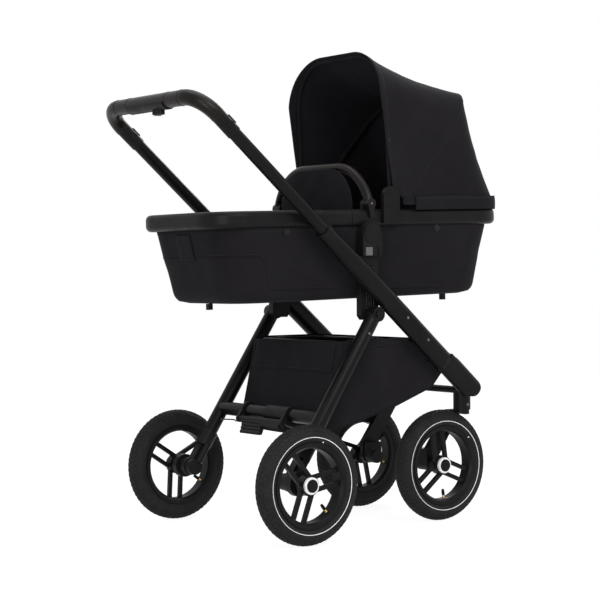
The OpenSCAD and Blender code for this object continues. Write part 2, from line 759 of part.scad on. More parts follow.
// Rounded outline of the body at height z below the rim
module body_slab(z, inset_all, t = 0.5) {
    k = (body_top - z) / (cot_depth + body_top);
    translate([0, 0, z]) linear_extrude(height = t)
        rounded_rect(cot_w - 2 * (body_inset + inset_all) - 2 * cot_side_taper * k,
            cot_l - 2 * (end_inset + inset_all) - 2 * cot_taper * k, cot_corner - inset_all * 0.6, $fn = 40);
}

module cot_body() {
    color(c_fabric) cot_frame() difference() {
        hull() {
            body_slab(body_top - 0.5, 0);
            body_slab(-cot_depth + 16, 0);
            body_slab(-cot_depth, body_round);
        }
        hull() {
            body_slab(body_top + 1, cot_wall);
            body_slab(-cot_depth + 20, cot_wall);
            body_slab(-cot_depth + 10, cot_wall + 12);
        }
    }
}

module mattress() {
    w = cot_w - 2 * (body_inset + cot_wall + cot_side_taper + 13);
    l = cot_l - 2 * (end_inset + cot_wall + cot_taper + 13);
    color([0.8, 0.8, 0.8]) cot_frame() translate([0, 0, -cot_depth + 10 + seat_gap])
        linear_extrude(height = mattress_h) rounded_rect(w, l, cot_corner - 10);
}

foot_y = cot_l / 2 - end_inset - cot_taper - body_round;
module cot_feet() {
    color(c_frame) cot_frame() {
        translate([-6, cot_l / 2 - 101, -cot_depth - 15]) cube([12, 12, 14.7]);
        translate([-6, -foot_y - 8, -cot_depth - 21]) cube([12, 12, 20.7]);
    }
}

adapter_half = 30;
adapter_low = frame_z + post_base + seat_gap;
adapter_in = plate_out - 10.5;
adapter_out = plate_out + 12;
button_half = 10;
button_travel = 4.1;
adapter_button_y = seat_y + 12;
adapter_button_z = frame_z + post_base + 24;
module cot_adapter(side) {
    color(c_frame) on_side(side) difference() {
        union() {
            translate([adapter_in, seat_y - adapter_half, adapter_low])
                cube([plate_out - adapter_in, 2 * adapter_half, cot_z - 36.7 - adapter_low]);
            translate([plate_out - 1, seat_y - adapter_half, adapter_low + 11.7])
                cube([adapter_out - plate_out + 1, 2 * adapter_half, cot_z - 48.7 - adapter_low]);
            translate([0, seat_y, cot_z - 38]) {
                axis_x(adapter_in, adapter_out - 3, adapter_r + 1);
                axis_x(adapter_in, adapter_out + 1, adapter_r - 4);
            }
        }
        cot_frame() {
            loop_sweep(cot_w - rim_t, cot_l - rim_t, cot_corner - rim_t / 2)
                stadium(rim_t + 2.4 + 2 * 0.02, rim_h + 1.6 + 2 * 0.02);
            translate([0, 0, rim_h / 2 + 20]) cube([cot_w, cot_l, 2 * rim_h + 40], center = true);
        }
        translate([tongue_x - 0.4, seat_y - 12.4, adapter_low - 5.3])
            cube([6.8, 24.8, post_tongue + 7]);
        translate([adapter_out - 5.2 - button_travel, adapter_button_y - button_half - 0.1,
            adapter_button_z - button_half - 0.1]) cube([25, 2 * button_half + 0.2, 2 * button_half + 0.2]);
        translate([adapter_out - 1.5, adapter_button_y - 3 * button_half, adapter_button_z - button_half - 1])
            cube([20, 4 * button_half + 1, 2 * button_half + 2]);
    }
}

module adapter_button(side) {
    color(c_grey) on_side(side) translate([adapter_out - 5, adapter_button_y - button_half,
        adapter_button_z - button_half]) cube([6.5, 2 * button_half, 2 * button_half]);
}

// Cover over the foot end, inside the rim
module apron() {
    w = cot_w - 2 * rim_t - 1;
    l = cot_l - 2 * rim_t - 1;
    color(c_fabric) cot_frame() translate([0, 0, 6]) linear_extrude(height = 6) intersection() {
        rounded_rect(w, l, cot_corner - rim_t);
        translate([-cot_w, flap_y - 5]) square([2 * cot_w, cot_l]);
    }
}

// Wind flap that stands up at the apron's front edge
module apron_flap() {
    color(c_fabric) cot_frame() translate([0, flap_y + 5, 12.3]) rotate([90, 0, 0]) linear_extrude(height = 10) {
        intersection() {
            union() {
                square([2 * flap_half, 2 * (flap_h - flap_corner)], center = true);
                square([2 * (flap_half - flap_corner), 2 * flap_h], center = true);
                for (s = [-1, 1]) translate([s * (flap_half - flap_corner), flap_h - flap_corner])
                    circle(r = flap_corner);
            }
            translate([-flap_half, 0]) square([2 * flap_half, flap_h]);
        }
    }
}

// Arch of the carrying handle, with an eye and a short tongue at each foot
module carry_handle() {
    start = asin((carry_corner - carry_h) / carry_corner);
    out = carry_x + carry_d / 2;
    color(c_grip) cot_frame() translate([0, carry_back, carry_up]) difference() {
        union() {
            for (s = [-1, 1]) on_side(s) {
                translate([carry_flat, 0, carry_h - carry_corner]) rotate([90, -90, 0]) mirror([0, 1, 0])
                    rotate_extrude(angle = 90 - start) translate([carry_corner, 0]) circle(d = carry_d);
                axis_x(lug_out + 0.6, out, 12);
                translate([out - 9, 0, 0]) rotate([90, 0, 90]) linear_extrude(height = 8.2)
                    polygon([[-11, 0], [11, 0], [4, -33], [-4, -33]]);
            }
            translate([0, 0, carry_h]) axis_x(-carry_flat, carry_flat, carry_d / 2);
        }
        for (s = [-1, 1]) axis_x(s * (lug_out - 20), s * (out - 1.9), 4 + run_gap);
        for (s = [-1, 1]) on_side(s) translate([lug_out - 30, -20, -20]) cube([30.5, 40, 40]);
    }
}

// ---- Hood ----

bow_gap = 1;
bow_in = cloth_t + bow_gap + bow_d / 2;
bow_x = hood_w / 2 - bow_in;
mid_x = bow_x - bow_d;
eye_r = hood_up - rim_h / 2 - 0.5;

module hood_clamp(side) {
    color(c_frame) hood_frame() on_side(side) {
        translate([cot_w / 2 + 0.02, -15, -hood_up - 14]) cube([11, 51, hood_up + 14]);
        translate([hood_w / 2 + 0.4, -15, -1]) cube([10, 51, 28]);
        translate([hood_w / 2 + 0.4, 10.5, 20]) axis_x(0, 10, 25.5);
        axis_x(mid_x - bow_d / 2, hood_w / 2 + 2, hood_pivot_r);
    }
}

// Hood bow turned to its angle: two eyes on the pivot and a U-shaped rod
module hood_bow(angle, half, reach, corner) {
    color(c_frame) hood_frame() rotate([-angle + 180, 0, 0]) difference() {
        union() {
            bow(half, reach, corner, bow_d, eye_r - 2);
            for (s = [-1, 1]) translate([s * half, 0, 0]) axis_x(-bow_d / 2 + 1, bow_d / 2 - 1, eye_r);
        }
        axis_x(-hood_w, hood_w, hood_pivot_r + run_gap);
    }
}

module hood_front_bow() hood_bow(front_bow_angle, bow_x, front_r - bow_in, front_corner - bow_in);
module hood_mid_bow() hood_bow(mid_bow_angle, mid_x, mid_r - bow_in, mid_corner - bow_in);

// Filled outline of the hood cut by the plane of a bow, as a thin slab. A wall's thickness is
// taken off all round when skin is given.
module hood_slab(angle, reach, corner, skin = 0) {
    half = hood_w / 2 - skin;
    top = reach - skin;
    r = corner - skin;
    hood_frame() rotate([-angle + 180, 0, 0]) linear_extrude(height = 0.4, center = true) {
        translate([-half, 0]) square([2 * half, top - r]);
        translate([-half + r, 0]) square([2 * (half - r), top]);
        for (s = [-1, 1]) translate([s * (half - r), top - r]) circle(r = r, $fn = 40);
    }
}

// The hollow of a panel runs on past its edge at the cloth's slope
edge_rise = 3;

// Reach at angle a of the straight line between two ends given as reach and angle
function chord_r(r0, a0, r1, a1, a) = r0 * r1 * sin(a1 - a0) / (r0 * sin(a - a0) + r1 * sin(a1 - a));

// Hood cloth between the front and the middle bow. It dips between them, and its front edge
// leans forward at the sides.
module hood_front_panel() {
    low = mid_bow_angle + 0.8;
    dip_angle = (low + front_bow_angle) / 2;
    dip_r = chord_r(mid_r, low, front_r, front_bow_angle, dip_angle) - hood_dip;
    dip_corner = (mid_corner + front_corner) / 2;
    color(c_fabric) difference() {
        union() {
            hull() {
                hood_slab(low, mid_r, mid_corner);
                hood_slab(dip_angle, dip_r, dip_corner);
            }
            hull() {
                hood_slab(dip_angle, dip_r, dip_corner);
                hood_slab(front_bow_angle, front_r, front_corner);
                hood_slab(hood_lean, 0.72 * front_r, 0.8 * front_corner);
            }
        }
        hull() {
            hood_slab(low - 0.8, mid_r + edge_rise, mid_corner, cloth_t);
            hood_slab(dip_angle, dip_r, dip_corner, cloth_t);
        }
        hull() {
            hood_slab(dip_angle, dip_r, dip_corner, cloth_t);
            hood_slab(front_bow_angle + 1, front_r + edge_rise, front_corner, cloth_t);
            hood_slab(hood_lean + 1.5, 0.72 * front_r + 12, 0.8 * front_corner, cloth_t);
        }
        hood_frame() axis_x(-hood_w, hood_w, 36);
    }
}

module hood_rear_panel() {
    dip_angle = mid_bow_angle / 2;
    dip_r = chord_r(hood_r, 0, mid_r, mid_bow_angle, dip_angle) - hood_dip / 2;
    dip_corner = (mid_corner + hood_corner) / 2;
    color(c_fabric) difference() {
        union() {
            hull() {
                hood_slab(0, hood_r, hood_corner);
                hood_slab(dip_angle, dip_r, dip_corner);
            }
            hull() {
                hood_slab(dip_angle, dip_r, dip_corner);
                hood_slab(mid_bow_angle, mid_r, mid_corner);
            }
        }
        hull() {
            hood_slab(-0.8, hood_r, hood_corner, cloth_t);
            hood_slab(dip_angle, dip_r, dip_corner, cloth_t);
        }
        hull() {
            hood_slab(dip_angle, dip_r, dip_corner, cloth_t);
            hood_slab(mid_bow_angle + 0.8, mid_r + edge_rise, mid_corner, cloth_t);
        }
        hood_frame() axis_x(-hood_w, hood_w, 36);
    }
}

main_tube(LEFT);  // main_tube_left
main_tube(RIGHT);  // main_tube_right
front_caps();
tube_collars();
front_crossbar();
swivel_housing(LEFT);  // swivel_housing_left
swivel_housing(RIGHT);  // swivel_housing_right
leg_bracket(LEFT);  // leg_bracket_left
leg_bracket(RIGHT);  // leg_bracket_right
basket_frame();
basket();
upper_tube(LEFT);  // upper_tube_left
upper_tube(RIGHT);  // upper_tube_right
handle_brackets();
handle_bar();
handle_grip();
handle_housing();
handle_button();
rear_leg(LEFT);  // rear_leg_left
rear_leg(RIGHT);  // rear_leg_right
rear_crossbar();
axle_arm(LEFT);  // axle_arm_left
axle_arm(RIGHT);  // axle_arm_right
brake_pedal();
pedal_mount();
brake_cable();
rear_tyre(LEFT);  // rear_tyre_left
rear_rim(LEFT);  // rear_rim_left
rear_hub_cap(LEFT);  // rear_hub_cap_left
rear_tyre(RIGHT);  // rear_tyre_right
rear_rim(RIGHT);  // rear_rim_right
rear_hub_cap(RIGHT);  // rear_hub_cap_right
fork(LEFT);  // fork_left
fork(RIGHT);  // fork_right
front_tyre(LEFT);  // front_tyre_left
front_rim(LEFT);  // front_rim_left
front_hub_cap(LEFT);  // front_hub_cap_left
front_tyre(RIGHT);  // front_tyre_right
front_rim(RIGHT);  // front_rim_right
front_hub_cap(RIGHT);  // front_hub_cap_right
cot_rim();
cot_body();
mattress();
cot_feet();
cot_adapter(LEFT);  // cot_adapter_left
cot_adapter(RIGHT);  // cot_adapter_right
adapter_button(LEFT);  // adapter_button_left
adapter_button(RIGHT);  // adapter_button_right
apron();
apron_flap();
carry_handle();
hood_clamp(LEFT);  // hood_clamp_left
hood_clamp(RIGHT);  // hood_clamp_right
hood_front_bow();
hood_mid_bow();
hood_front_panel();
hood_rear_panel();
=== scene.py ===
"""Pram with a folding chassis on four air tyres, a carrycot, a hood and a shopping basket.

Each sub-assembly is a class that builds its own soft pieces, trims and small fasteners over
the CAD frame and gives them a finish. All lengths are in metres.
"""

from __future__ import annotations

import json
import logging
import math
from dataclasses import dataclass, field
from enum import Enum
from typing import Callable, Iterable, Sequence

import bmesh
import bpy
from mathutils import Matrix, Vector, noise

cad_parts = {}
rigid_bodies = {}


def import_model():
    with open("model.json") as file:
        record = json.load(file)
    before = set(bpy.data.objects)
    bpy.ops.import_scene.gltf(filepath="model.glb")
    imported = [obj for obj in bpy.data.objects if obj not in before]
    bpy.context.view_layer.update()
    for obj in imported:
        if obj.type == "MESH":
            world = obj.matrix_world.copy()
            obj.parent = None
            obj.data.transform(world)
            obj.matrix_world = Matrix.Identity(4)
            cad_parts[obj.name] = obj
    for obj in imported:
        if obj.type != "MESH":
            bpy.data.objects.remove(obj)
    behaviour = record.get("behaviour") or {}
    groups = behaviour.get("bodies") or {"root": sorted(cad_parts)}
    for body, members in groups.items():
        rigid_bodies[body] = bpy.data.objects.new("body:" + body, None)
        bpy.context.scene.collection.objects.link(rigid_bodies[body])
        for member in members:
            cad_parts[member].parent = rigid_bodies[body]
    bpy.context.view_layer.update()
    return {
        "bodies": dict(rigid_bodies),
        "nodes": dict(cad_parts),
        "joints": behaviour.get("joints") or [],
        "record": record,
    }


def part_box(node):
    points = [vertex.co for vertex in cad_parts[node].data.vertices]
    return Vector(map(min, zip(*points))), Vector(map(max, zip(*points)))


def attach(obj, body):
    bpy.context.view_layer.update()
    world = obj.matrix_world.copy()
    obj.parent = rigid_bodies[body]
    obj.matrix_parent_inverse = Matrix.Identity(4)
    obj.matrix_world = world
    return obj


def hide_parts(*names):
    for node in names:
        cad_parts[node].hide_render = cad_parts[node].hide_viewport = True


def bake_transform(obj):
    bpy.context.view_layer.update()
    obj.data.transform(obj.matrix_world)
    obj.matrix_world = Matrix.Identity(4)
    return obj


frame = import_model()
LOG = logging.getLogger("pram")
# Points closer than this become one: in a sheet, and at the ends of a tube or turned shape.
SHEET_WELD = 2e-5
TUBE_WELD = 1e-6
Point = tuple[float, float, float]


class Side(Enum):
    """Left is +X, right is -X."""

    LEFT = 1
    RIGHT = -1

    @property
    def label(self) -> str:
        """Name used in node and piece names."""
        return self.name.lower()


class Axle(Enum):
    """Which pair of wheels a wheel belongs to."""

    FRONT = "front"
    REAR = "rear"


# ---------------------------------------------------------------- finishes


class Recipe:
    """Node tree of one finish, built round a Principled shader."""

    BAND_SCALE = 0.31
    MIDDLE = (0.3, 0.7)

    def __init__(self, name: str, colour: Sequence[float], roughness: float,
                 specular: float) -> None:
        """Starts a material.

        Args:
            name: Name of the material.
            colour: Linear base colour.
            roughness: Roughness of the plain surface.
            specular: Specular level.
        """
        self.material = bpy.data.materials.new(name)
        self.material.use_nodes = True
        self.tree = self.material.node_tree
        self.shader = self.tree.nodes["Principled BSDF"]
        self.shader.inputs["Base Color"].default_value = (*colour, 1.0)
        self.shader.inputs["Roughness"].default_value = roughness
        self.shader.inputs["Specular IOR Level"].default_value = specular
        self.coords = self.tree.nodes.new("ShaderNodeTexCoord").outputs["Object"]

    def link(self, source: bpy.types.NodeSocket, target: bpy.types.NodeSocket) -> None:
        """Links two sockets."""
        self.tree.links.new(source, target)

    def grain(self, scale: float, detail: float = 3.0,
              rough: float = 0.55) -> bpy.types.NodeSocket:
        """Noise on object coordinates.

        Args:
            scale: Cells per metre.
            detail: Octaves.
            rough: Strength of the finer octaves.

        Returns:
            The noise value.
        """
        node = self.tree.nodes.new("ShaderNodeTexNoise")
        node.inputs["Scale"].default_value = scale
        node.inputs["Detail"].default_value = detail
        node.inputs["Roughness"].default_value = rough
        self.link(self.coords, node.inputs["Vector"])
        return node.outputs["Fac"]

    def cells(self, scale: float) -> bpy.types.NodeSocket:
        """Voronoi distance on object coordinates, for leather grain.

        Args:
            scale: Cells per metre.

        Returns:
            The distance value.
        """
        node = self.tree.nodes.new("ShaderNodeTexVoronoi")
        node.inputs["Scale"].default_value = scale
        self.link(self.coords, node.inputs["Vector"])
        return node.outputs["Distance"]

    def threads(self, pitch: float, turn: Sequence[float]) -> bpy.types.NodeSocket:
        """One set of parallel threads.

        Args:
            pitch: Distance between threads.
            turn: Euler angles that set the way the threads run.

        Returns:
            The height of the threads.
        """
        mapping = self.tree.nodes.new("ShaderNodeMapping")
        mapping.inputs["Rotation"].default_value = turn
        wave = self.tree.nodes.new("ShaderNodeTexWave")
        wave.bands_direction = "DIAGONAL"
        wave.inputs["Scale"].default_value = self.BAND_SCALE / pitch
        wave.inputs["Distortion"].default_value = 0.6
        wave.inputs["Detail Scale"].default_value = 2.0
        self.link(self.coords, mapping.inputs["Vector"])
        self.link(mapping.outputs["Vector"], wave.inputs["Vector"])
        return wave.outputs["Fac"]

    def vary_roughness(self, value: bpy.types.NodeSocket, low: float, high: float) -> None:
        """Varies the roughness.

        Args:
            value: Where between the two a point lies.
            low: Roughness at the low end of the value's middle part.
            high: Roughness at its high end.
        """
        node = self.tree.nodes.new("ShaderNodeMapRange")
        start, end = self.MIDDLE
        for key, number in (("From Min", start), ("From Max", end), ("To Min", low),
                            ("To Max", high)):
            node.inputs[key].default_value = number
        self.link(value, node.inputs["Value"])
        self.link(node.outputs["Result"], self.shader.inputs["Roughness"])

    def tint(self, value: bpy.types.NodeSocket, dark: Sequence[float],
             light: Sequence[float]) -> None:
        """Varies the base colour.

        Args:
            value: Where between the two colours a point lies.
            dark: Colour at the low end.
            light: Colour at the high end.
        """
        ramp = self.tree.nodes.new("ShaderNodeValToRGB")
        for stop, position, colour in zip(ramp.color_ramp.elements, (0.3, 0.72), (dark, light)):
            stop.position = position
            stop.color = (*colour, 1.0)
        self.link(value, ramp.inputs["Fac"])
        self.link(ramp.outputs["Color"], self.shader.inputs["Base Color"])

    def relief(self, value: bpy.types.NodeSocket, depth: float, strength: float = 1.0) -> None:
        """Adds a bump on top of those already there.

        Args:
            value: Height from 0 to 1.
            depth: Depth of the relief.
            strength: Strength of the bump.
        """
        bump = self.tree.nodes.new("ShaderNodeBump")
        bump.inputs["Strength"].default_value = strength
        bump.inputs["Distance"].default_value = depth
        self.link(value, bump.inputs["Height"])
        normal = self.shader.inputs["Normal"]
        if normal.is_linked:
            self.link(normal.links[0].from_socket, bump.inputs["Normal"])
        self.link(bump.outputs["Normal"], normal)


@dataclass(frozen=True)
class CoatedMetal:
    """Satin powder coat on tube, with faint orange peel and polish wear."""

    name: str = "satin_coat"
    colour: Point = (0.0031, 0.0031, 0.0032)
    worn: Point = (0.0055, 0.0055, 0.0057)
    roughness: float = 0.31

    def build(self) -> bpy.types.Material:
        """Builds the material.

        Returns:
            The material.
        """
        recipe = Recipe(self.name, self.colour, self.roughness, 0.10)
        recipe.tint(recipe.grain(9.0, 5.0, 0.62), self.colour, self.worn)
        recipe.vary_roughness(recipe.grain(22.0, 4.0), self.roughness - 0.05,
                              self.roughness + 0.09)
        recipe.relief(recipe.grain(1100.0, 2.0), 0.00006, 0.35)
        return recipe.material


@dataclass(frozen=True)
class MouldedPlastic:
    """Moulded plastic with a fine spark-eroded grain."""

    name: str = "moulded_plastic"
    colour: Point = (0.0038, 0.0038, 0.0039)
    scuffed: Point = (0.0074, 0.0074, 0.0076)
    roughness: float = 0.42
    specular: float = 0.10

    def build(self) -> bpy.types.Material:
        """Builds the material.

        Returns:
            The material.
        """
        recipe = Recipe(self.name, self.colour, self.roughness, self.specular)
        recipe.tint(recipe.grain(14.0, 6.0, 0.66), self.colour, self.scuffed)
        recipe.vary_roughness(recipe.grain(40.0, 3.0), self.roughness - 0.06,
                              self.roughness + 0.08)
        recipe.relief(recipe.grain(1500.0, 2.0), 0.0001, 0.5)
        return recipe.material


@dataclass(frozen=True)
class WovenCloth:
    """Woven polyester: crossed threads, soft creases, mottling and a little sheen."""

    name: str = "charcoal_cloth"
    colour: Point = (0.0074, 0.0066, 0.0082)
    light: Point = (0.0112, 0.0101, 0.0122)
    pitch: float = 0.0011
    crease: float = 0.0016

    def build(self) -> bpy.types.Material:
        """Builds the material.

        Returns:
            The material.
        """
        recipe = Recipe(self.name, self.colour, 0.88, 0.05)
        recipe.tint(recipe.grain(7.0, 6.0, 0.6), self.colour, self.light)
        recipe.shader.inputs["Sheen Weight"].default_value = 0.045
        recipe.shader.inputs["Sheen Roughness"].default_value = 0.5
        recipe.shader.inputs["Sheen Tint"].default_value = (0.5, 0.48, 0.54, 1.0)
        recipe.relief(recipe.grain(16.0, 3.0, 0.5), self.crease, 0.5)
        recipe.relief(recipe.threads(self.pitch, (0.0, 0.0, 0.0)), 0.00022, 0.6)
        recipe.relief(recipe.threads(self.pitch, (0.0, 1.5708, 0.5)), 0.00022, 0.6)
        return recipe.material


@dataclass(frozen=True)
class Leatherette:
    """Grained dark leatherette of the handle covers."""

    name: str = "leatherette"
    colour: Point = (0.0048, 0.0037, 0.0034)
    light: Point = (0.0092, 0.0070, 0.0063)

    def build(self) -> bpy.types.Material:
        """Builds the material.

        Returns:
            The material.
        """
        recipe = Recipe(self.name, self.colour, 0.30, 0.13)
        recipe.tint(recipe.grain(24.0, 5.0), self.colour, self.light)
        recipe.relief(recipe.cells(620.0), 0.0003, 0.6)
        recipe.relief(recipe.grain(60.0, 3.0), 0.0006, 0.3)
        return recipe.material


@dataclass(frozen=True)
class Rubber:
    """Tyre rubber, dull, with road dust in the hollows."""

    name: str = "tyre_rubber"
    colour: Point = (0.0080, 0.0080, 0.0082)
    dust: Point = (0.0150, 0.0148, 0.0145)
    roughness: float = 0.58

    def build(self) -> bpy.types.Material:
        """Builds the material.

        Returns:
            The material.
        """
        recipe = Recipe(self.name, self.colour, self.roughness, 0.11)
        recipe.tint(recipe.grain(30.0, 7.0, 0.7), self.colour, self.dust)
        recipe.vary_roughness(recipe.grain(55.0, 3.0), self.roughness, self.roughness + 0.18)
        recipe.relief(recipe.grain(800.0, 3.0), 0.0002, 0.4)
        return recipe.material


@dataclass(frozen=True)
class PlainFinish:
    """Small hard parts: a colour with slight variation, roughness and metal share."""

    name: str
    colour: Point
    roughness: float
    metallic: float = 0.0
    specular: float = 0.5
    grain: float = 120.0

    def build(self) -> bpy.types.Material:
        """Builds the material.

        Returns:
            The material.
        """
        recipe = Recipe(self.name, self.colour, self.roughness, self.specular)
        recipe.shader.inputs["Metallic"].default_value = self.metallic
        dark = tuple(value * 0.9 for value in self.colour)
        light = tuple(min(1.0, value * 1.12) for value in self.colour)
        recipe.tint(recipe.grain(self.grain, 4.0), dark, light)
        recipe.relief(recipe.grain(self.grain * 8, 2.0), 0.00004, 0.3)
        return recipe.material


@dataclass(frozen=True)
class Ticking:
    """Pale cotton ticking of the mattress, with a fine stripe in its weave."""

    name: str = "mattress_ticking"

    def build(self) -> bpy.types.Material:
        """Builds the material.

        Returns:
            The material.
        """
        recipe = Recipe(self.name, (0.62, 0.61, 0.58), 0.9, 0.2)
        recipe.tint(recipe.grain(18.0, 5.0), (0.58, 0.57, 0.54), (0.67, 0.66, 0.63))
        recipe.relief(recipe.threads(0.0012, (0.0, 0.0, 0.0)), 0.0003, 0.7)
        recipe.relief(recipe.threads(0.0012, (0.0, 1.57, 0.5)), 0.0003, 0.7)
        return recipe.material


class Wardrobe:
    """All finishes of the pram, and which record slot wears which."""

    def __init__(self) -> None:
        """Builds every finish once."""
        self.coat = CoatedMetal().build()
        self.plastic = MouldedPlastic().build()
        self.gloss = MouldedPlastic("gloss_plastic", (0.0050, 0.0050, 0.0051),
                                    (0.0075, 0.0075, 0.0076), 0.2, 0.22).build()
        self.cloth = WovenCloth().build()
        self.lining = WovenCloth("lining_cloth", (0.0062, 0.0056, 0.0068),
                                 (0.0095, 0.0086, 0.0102)).build()
        self.band = WovenCloth("webbing", (0.0070, 0.0064, 0.0076),
                               (0.0105, 0.0096, 0.0112), 0.0018, 0.0002).build()
        self.grip = Leatherette().build()
        self.rubber = Rubber().build()
        self.white = PlainFinish("white_gloss", (0.72, 0.72, 0.71), 0.2).build()
        self.brass = PlainFinish("brass", (0.55, 0.36, 0.14), 0.32, 1.0).build()
        self.steel = PlainFinish("zinc_steel", (0.13, 0.13, 0.135), 0.35, 1.0).build()
        self.button = PlainFinish("grey_button", (0.075, 0.075, 0.078), 0.42).build()
        self.thread = PlainFinish("thread", (0.026, 0.024, 0.029), 0.85, 0.0, 0.2,
                                  500.0).build()
        self.cable = PlainFinish("cable_sheath", (0.014, 0.014, 0.014), 0.5).build()
        self.ticking = Ticking().build()
        self.by_slot = {
            "frame_metal": self.coat, "frame_plastic": self.plastic, "wire": self.coat,
            "cloth": self.cloth, "mattress": self.ticking, "grip": self.grip,
            "button": self.button, "tyre": self.rubber, "white_ring": self.white,
            "cable": self.cable,
        }

    def dress_nodes(self, frame: dict) -> None:
        """Gives every CAD node the finish of its slot.

        Args:
            frame: The loaded frame.
        """
        for part in frame["record"]["subparts"]:
            mesh = frame["nodes"][part["node"]].data
            mesh.materials.clear()
            sleeved = part["node"] in ("hood_front_bow", "hood_mid_bow")
            mesh.materials.append(self.lining if sleeved else self.by_slot[part["material_slot"]])


# ---------------------------------------------------------------- mesh tools


def finish_piece(name: str, bm: bmesh.types.BMesh, material: bpy.types.Material,
                 body: str | None, merge: float = 0.0) -> bpy.types.Object:
    """Turns a bmesh into a shown piece with outward faces.

    Args:
        name: Name of the piece.
        bm: Its mesh in the shared frame. It is freed.
        material: Its finish.
        body: The body it rides on, or None for a piece that rides on none.
        merge: Distance under which points are merged.

    Returns:
        The new object.
    """
    if merge:
        bmesh.ops.remove_doubles(bm, verts=bm.verts, dist=merge)
    bmesh.ops.recalc_face_normals(bm, faces=bm.faces)
    mesh = bpy.data.meshes.new(name)
    bm.to_mesh(mesh)
    bm.free()
    mesh.materials.append(material)
    mesh.shade_smooth()
    piece = bpy.data.objects.new(name, mesh)
    bpy.context.scene.collection.objects.link(piece)
    if body:
        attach(piece, body)
    LOG.info("%s: %d faces", name, len(mesh.polygons))
    return piece


def sharpen(piece: bpy.types.Object, angle: float = 35.0) -> None:
    """Keeps edges sharper than an angle in degrees crisp."""
    piece.data.set_sharp_from_angle(angle=math.radians(angle))


def add_tube(bm: bmesh.types.BMesh, path: Sequence[Sequence[float]], radius: float,
             sides: int = 8, closed: bool = False) -> None:
    """Adds a round tube along a path.

    Args:
        bm: Mesh that takes the tube.
        path: Points of the tube's axis.
        radius: Radius of the tube.
        sides: Faces round the tube, a multiple of four.
        closed: Whether the path is a loop.
    """
    curve = bpy.data.curves.new("tube", "CURVE")
    curve.dimensions = "3D"
    curve.bevel_depth = radius
    curve.bevel_resolution = max(0, sides // 4 - 1)
    curve.use_fill_caps = not closed
    spline = curve.splines.new("POLY")
    spline.points.add(len(path) - 1)
    for point, place in zip(spline.points, path):
        point.co = (*place, 1.0)
        point.radius = 1.0
    spline.use_cyclic_u = closed
    holder = bpy.data.objects.new("tube", curve)
    mesh = bpy.data.meshes.new_from_object(holder)
    bm.from_mesh(mesh)
    bpy.data.objects.remove(holder)
    bpy.data.curves.remove(curve)
    bpy.data.meshes.remove(mesh)


def tube_piece(name: str, paths: Iterable[Sequence[Sequence[float]]], radius: float,
               material: bpy.types.Material, body: str | None,
               sides: int = 8, closed: bool = False) -> bpy.types.Object:
    """Builds one piece of round tubes.

    Args:
        name: Name of the piece.
        paths: Axis of each tube.
        radius: Radius of the tubes.
        material: Finish of the piece.
        body: The body it rides on, or None for a piece that rides on none.
        sides: Faces round a tube, a multiple of four.
        closed: Whether the paths are loops.

    Returns:
        The new object.
    """
    bm = bmesh.new()
    for path in paths:
        add_tube(bm, path, radius, sides, closed)
    return finish_piece(name, bm, material, body, TUBE_WELD)


def add_sheet(bm: bmesh.types.BMesh, shape: Callable[[float, float], Vector],
              across: int, along: int) -> None:
    """Adds a grid whose points a function places.

    Args:
        bm: Mesh that takes the grid.
        shape: Place of a point from its two shares, each 0 to 1.
        across: Faces along the first share.
        along: Faces along the second share.
    """
    made = bmesh.ops.create_grid(bm, x_segments=across, y_segments=along, size=0.5)["verts"]
    for vert in made:
        vert.co = shape(vert.co.x + 0.5, vert.co.y + 0.5)


def thick_sheet(shape: Callable[[float, float], Vector], across: int, along: int,
                thickness: float, weld: float = 0.0) -> tuple[bmesh.types.BMesh, float]:
    """Makes a sheet of cloth with a thickness.

    Args:
        shape: Place of a point from its two shares, each 0 to 1.
        across: Faces along the first share.
        along: Faces along the second share.
        thickness: Thickness of the cloth.
        weld: Distance under which points of the sheet are merged.

    Returns:
        Its mesh, and the area of its one face.
    """
    bm = bmesh.new()
    add_sheet(bm, shape, across, along)
    if weld:
        bmesh.ops.remove_doubles(bm, verts=bm.verts, dist=weld)
    bmesh.ops.recalc_face_normals(bm, faces=bm.faces)
    area = sum(face.calc_area() for face in bm.faces)
    bmesh.ops.solidify(bm, geom=bm.faces[:], thickness=thickness)
    return bm, area


def add_turned(bm: bmesh.types.BMesh, profile: Sequence[tuple[float, float]], steps: int,
               place: Matrix, closed: bool = False) -> None:
    """Adds a turned shape.

    Args:
        bm: Mesh that takes the shape.
        profile: Pairs of radius and height along the axis.
        steps: Faces round the axis.
        place: Where the shape's Z axis goes.
        closed: Whether the profile is a loop.
    """
    verts = [bm.verts.new((radius, 0.0, height)) for radius, height in profile]
    pairs = list(zip(verts, verts[1:])) + ([(verts[-1], verts[0])] if closed else [])
    edges = [bm.edges.new(pair) for pair in pairs]
    bmesh.ops.spin(bm, geom=verts + edges, cent=(0, 0, 0), axis=(0, 0, 1), dvec=(0, 0, 0),
                   angle=math.tau, steps=steps, use_merge=True, use_duplicate=False)
    fresh = {vert for edge in edges for vert in edge.verts}
    stack = list(fresh)
    while stack:
        for edge in stack.pop().link_edges:
            for vert in edge.verts:
                if vert not in fresh:
                    fresh.add(vert)
                    stack.append(vert)
    poles = [vert for vert in fresh if math.hypot(vert.co.x, vert.co.y) < TUBE_WELD]
    bmesh.ops.transform(bm, matrix=place, verts=list(fresh))
    bmesh.ops.remove_doubles(bm, verts=poles, dist=TUBE_WELD)


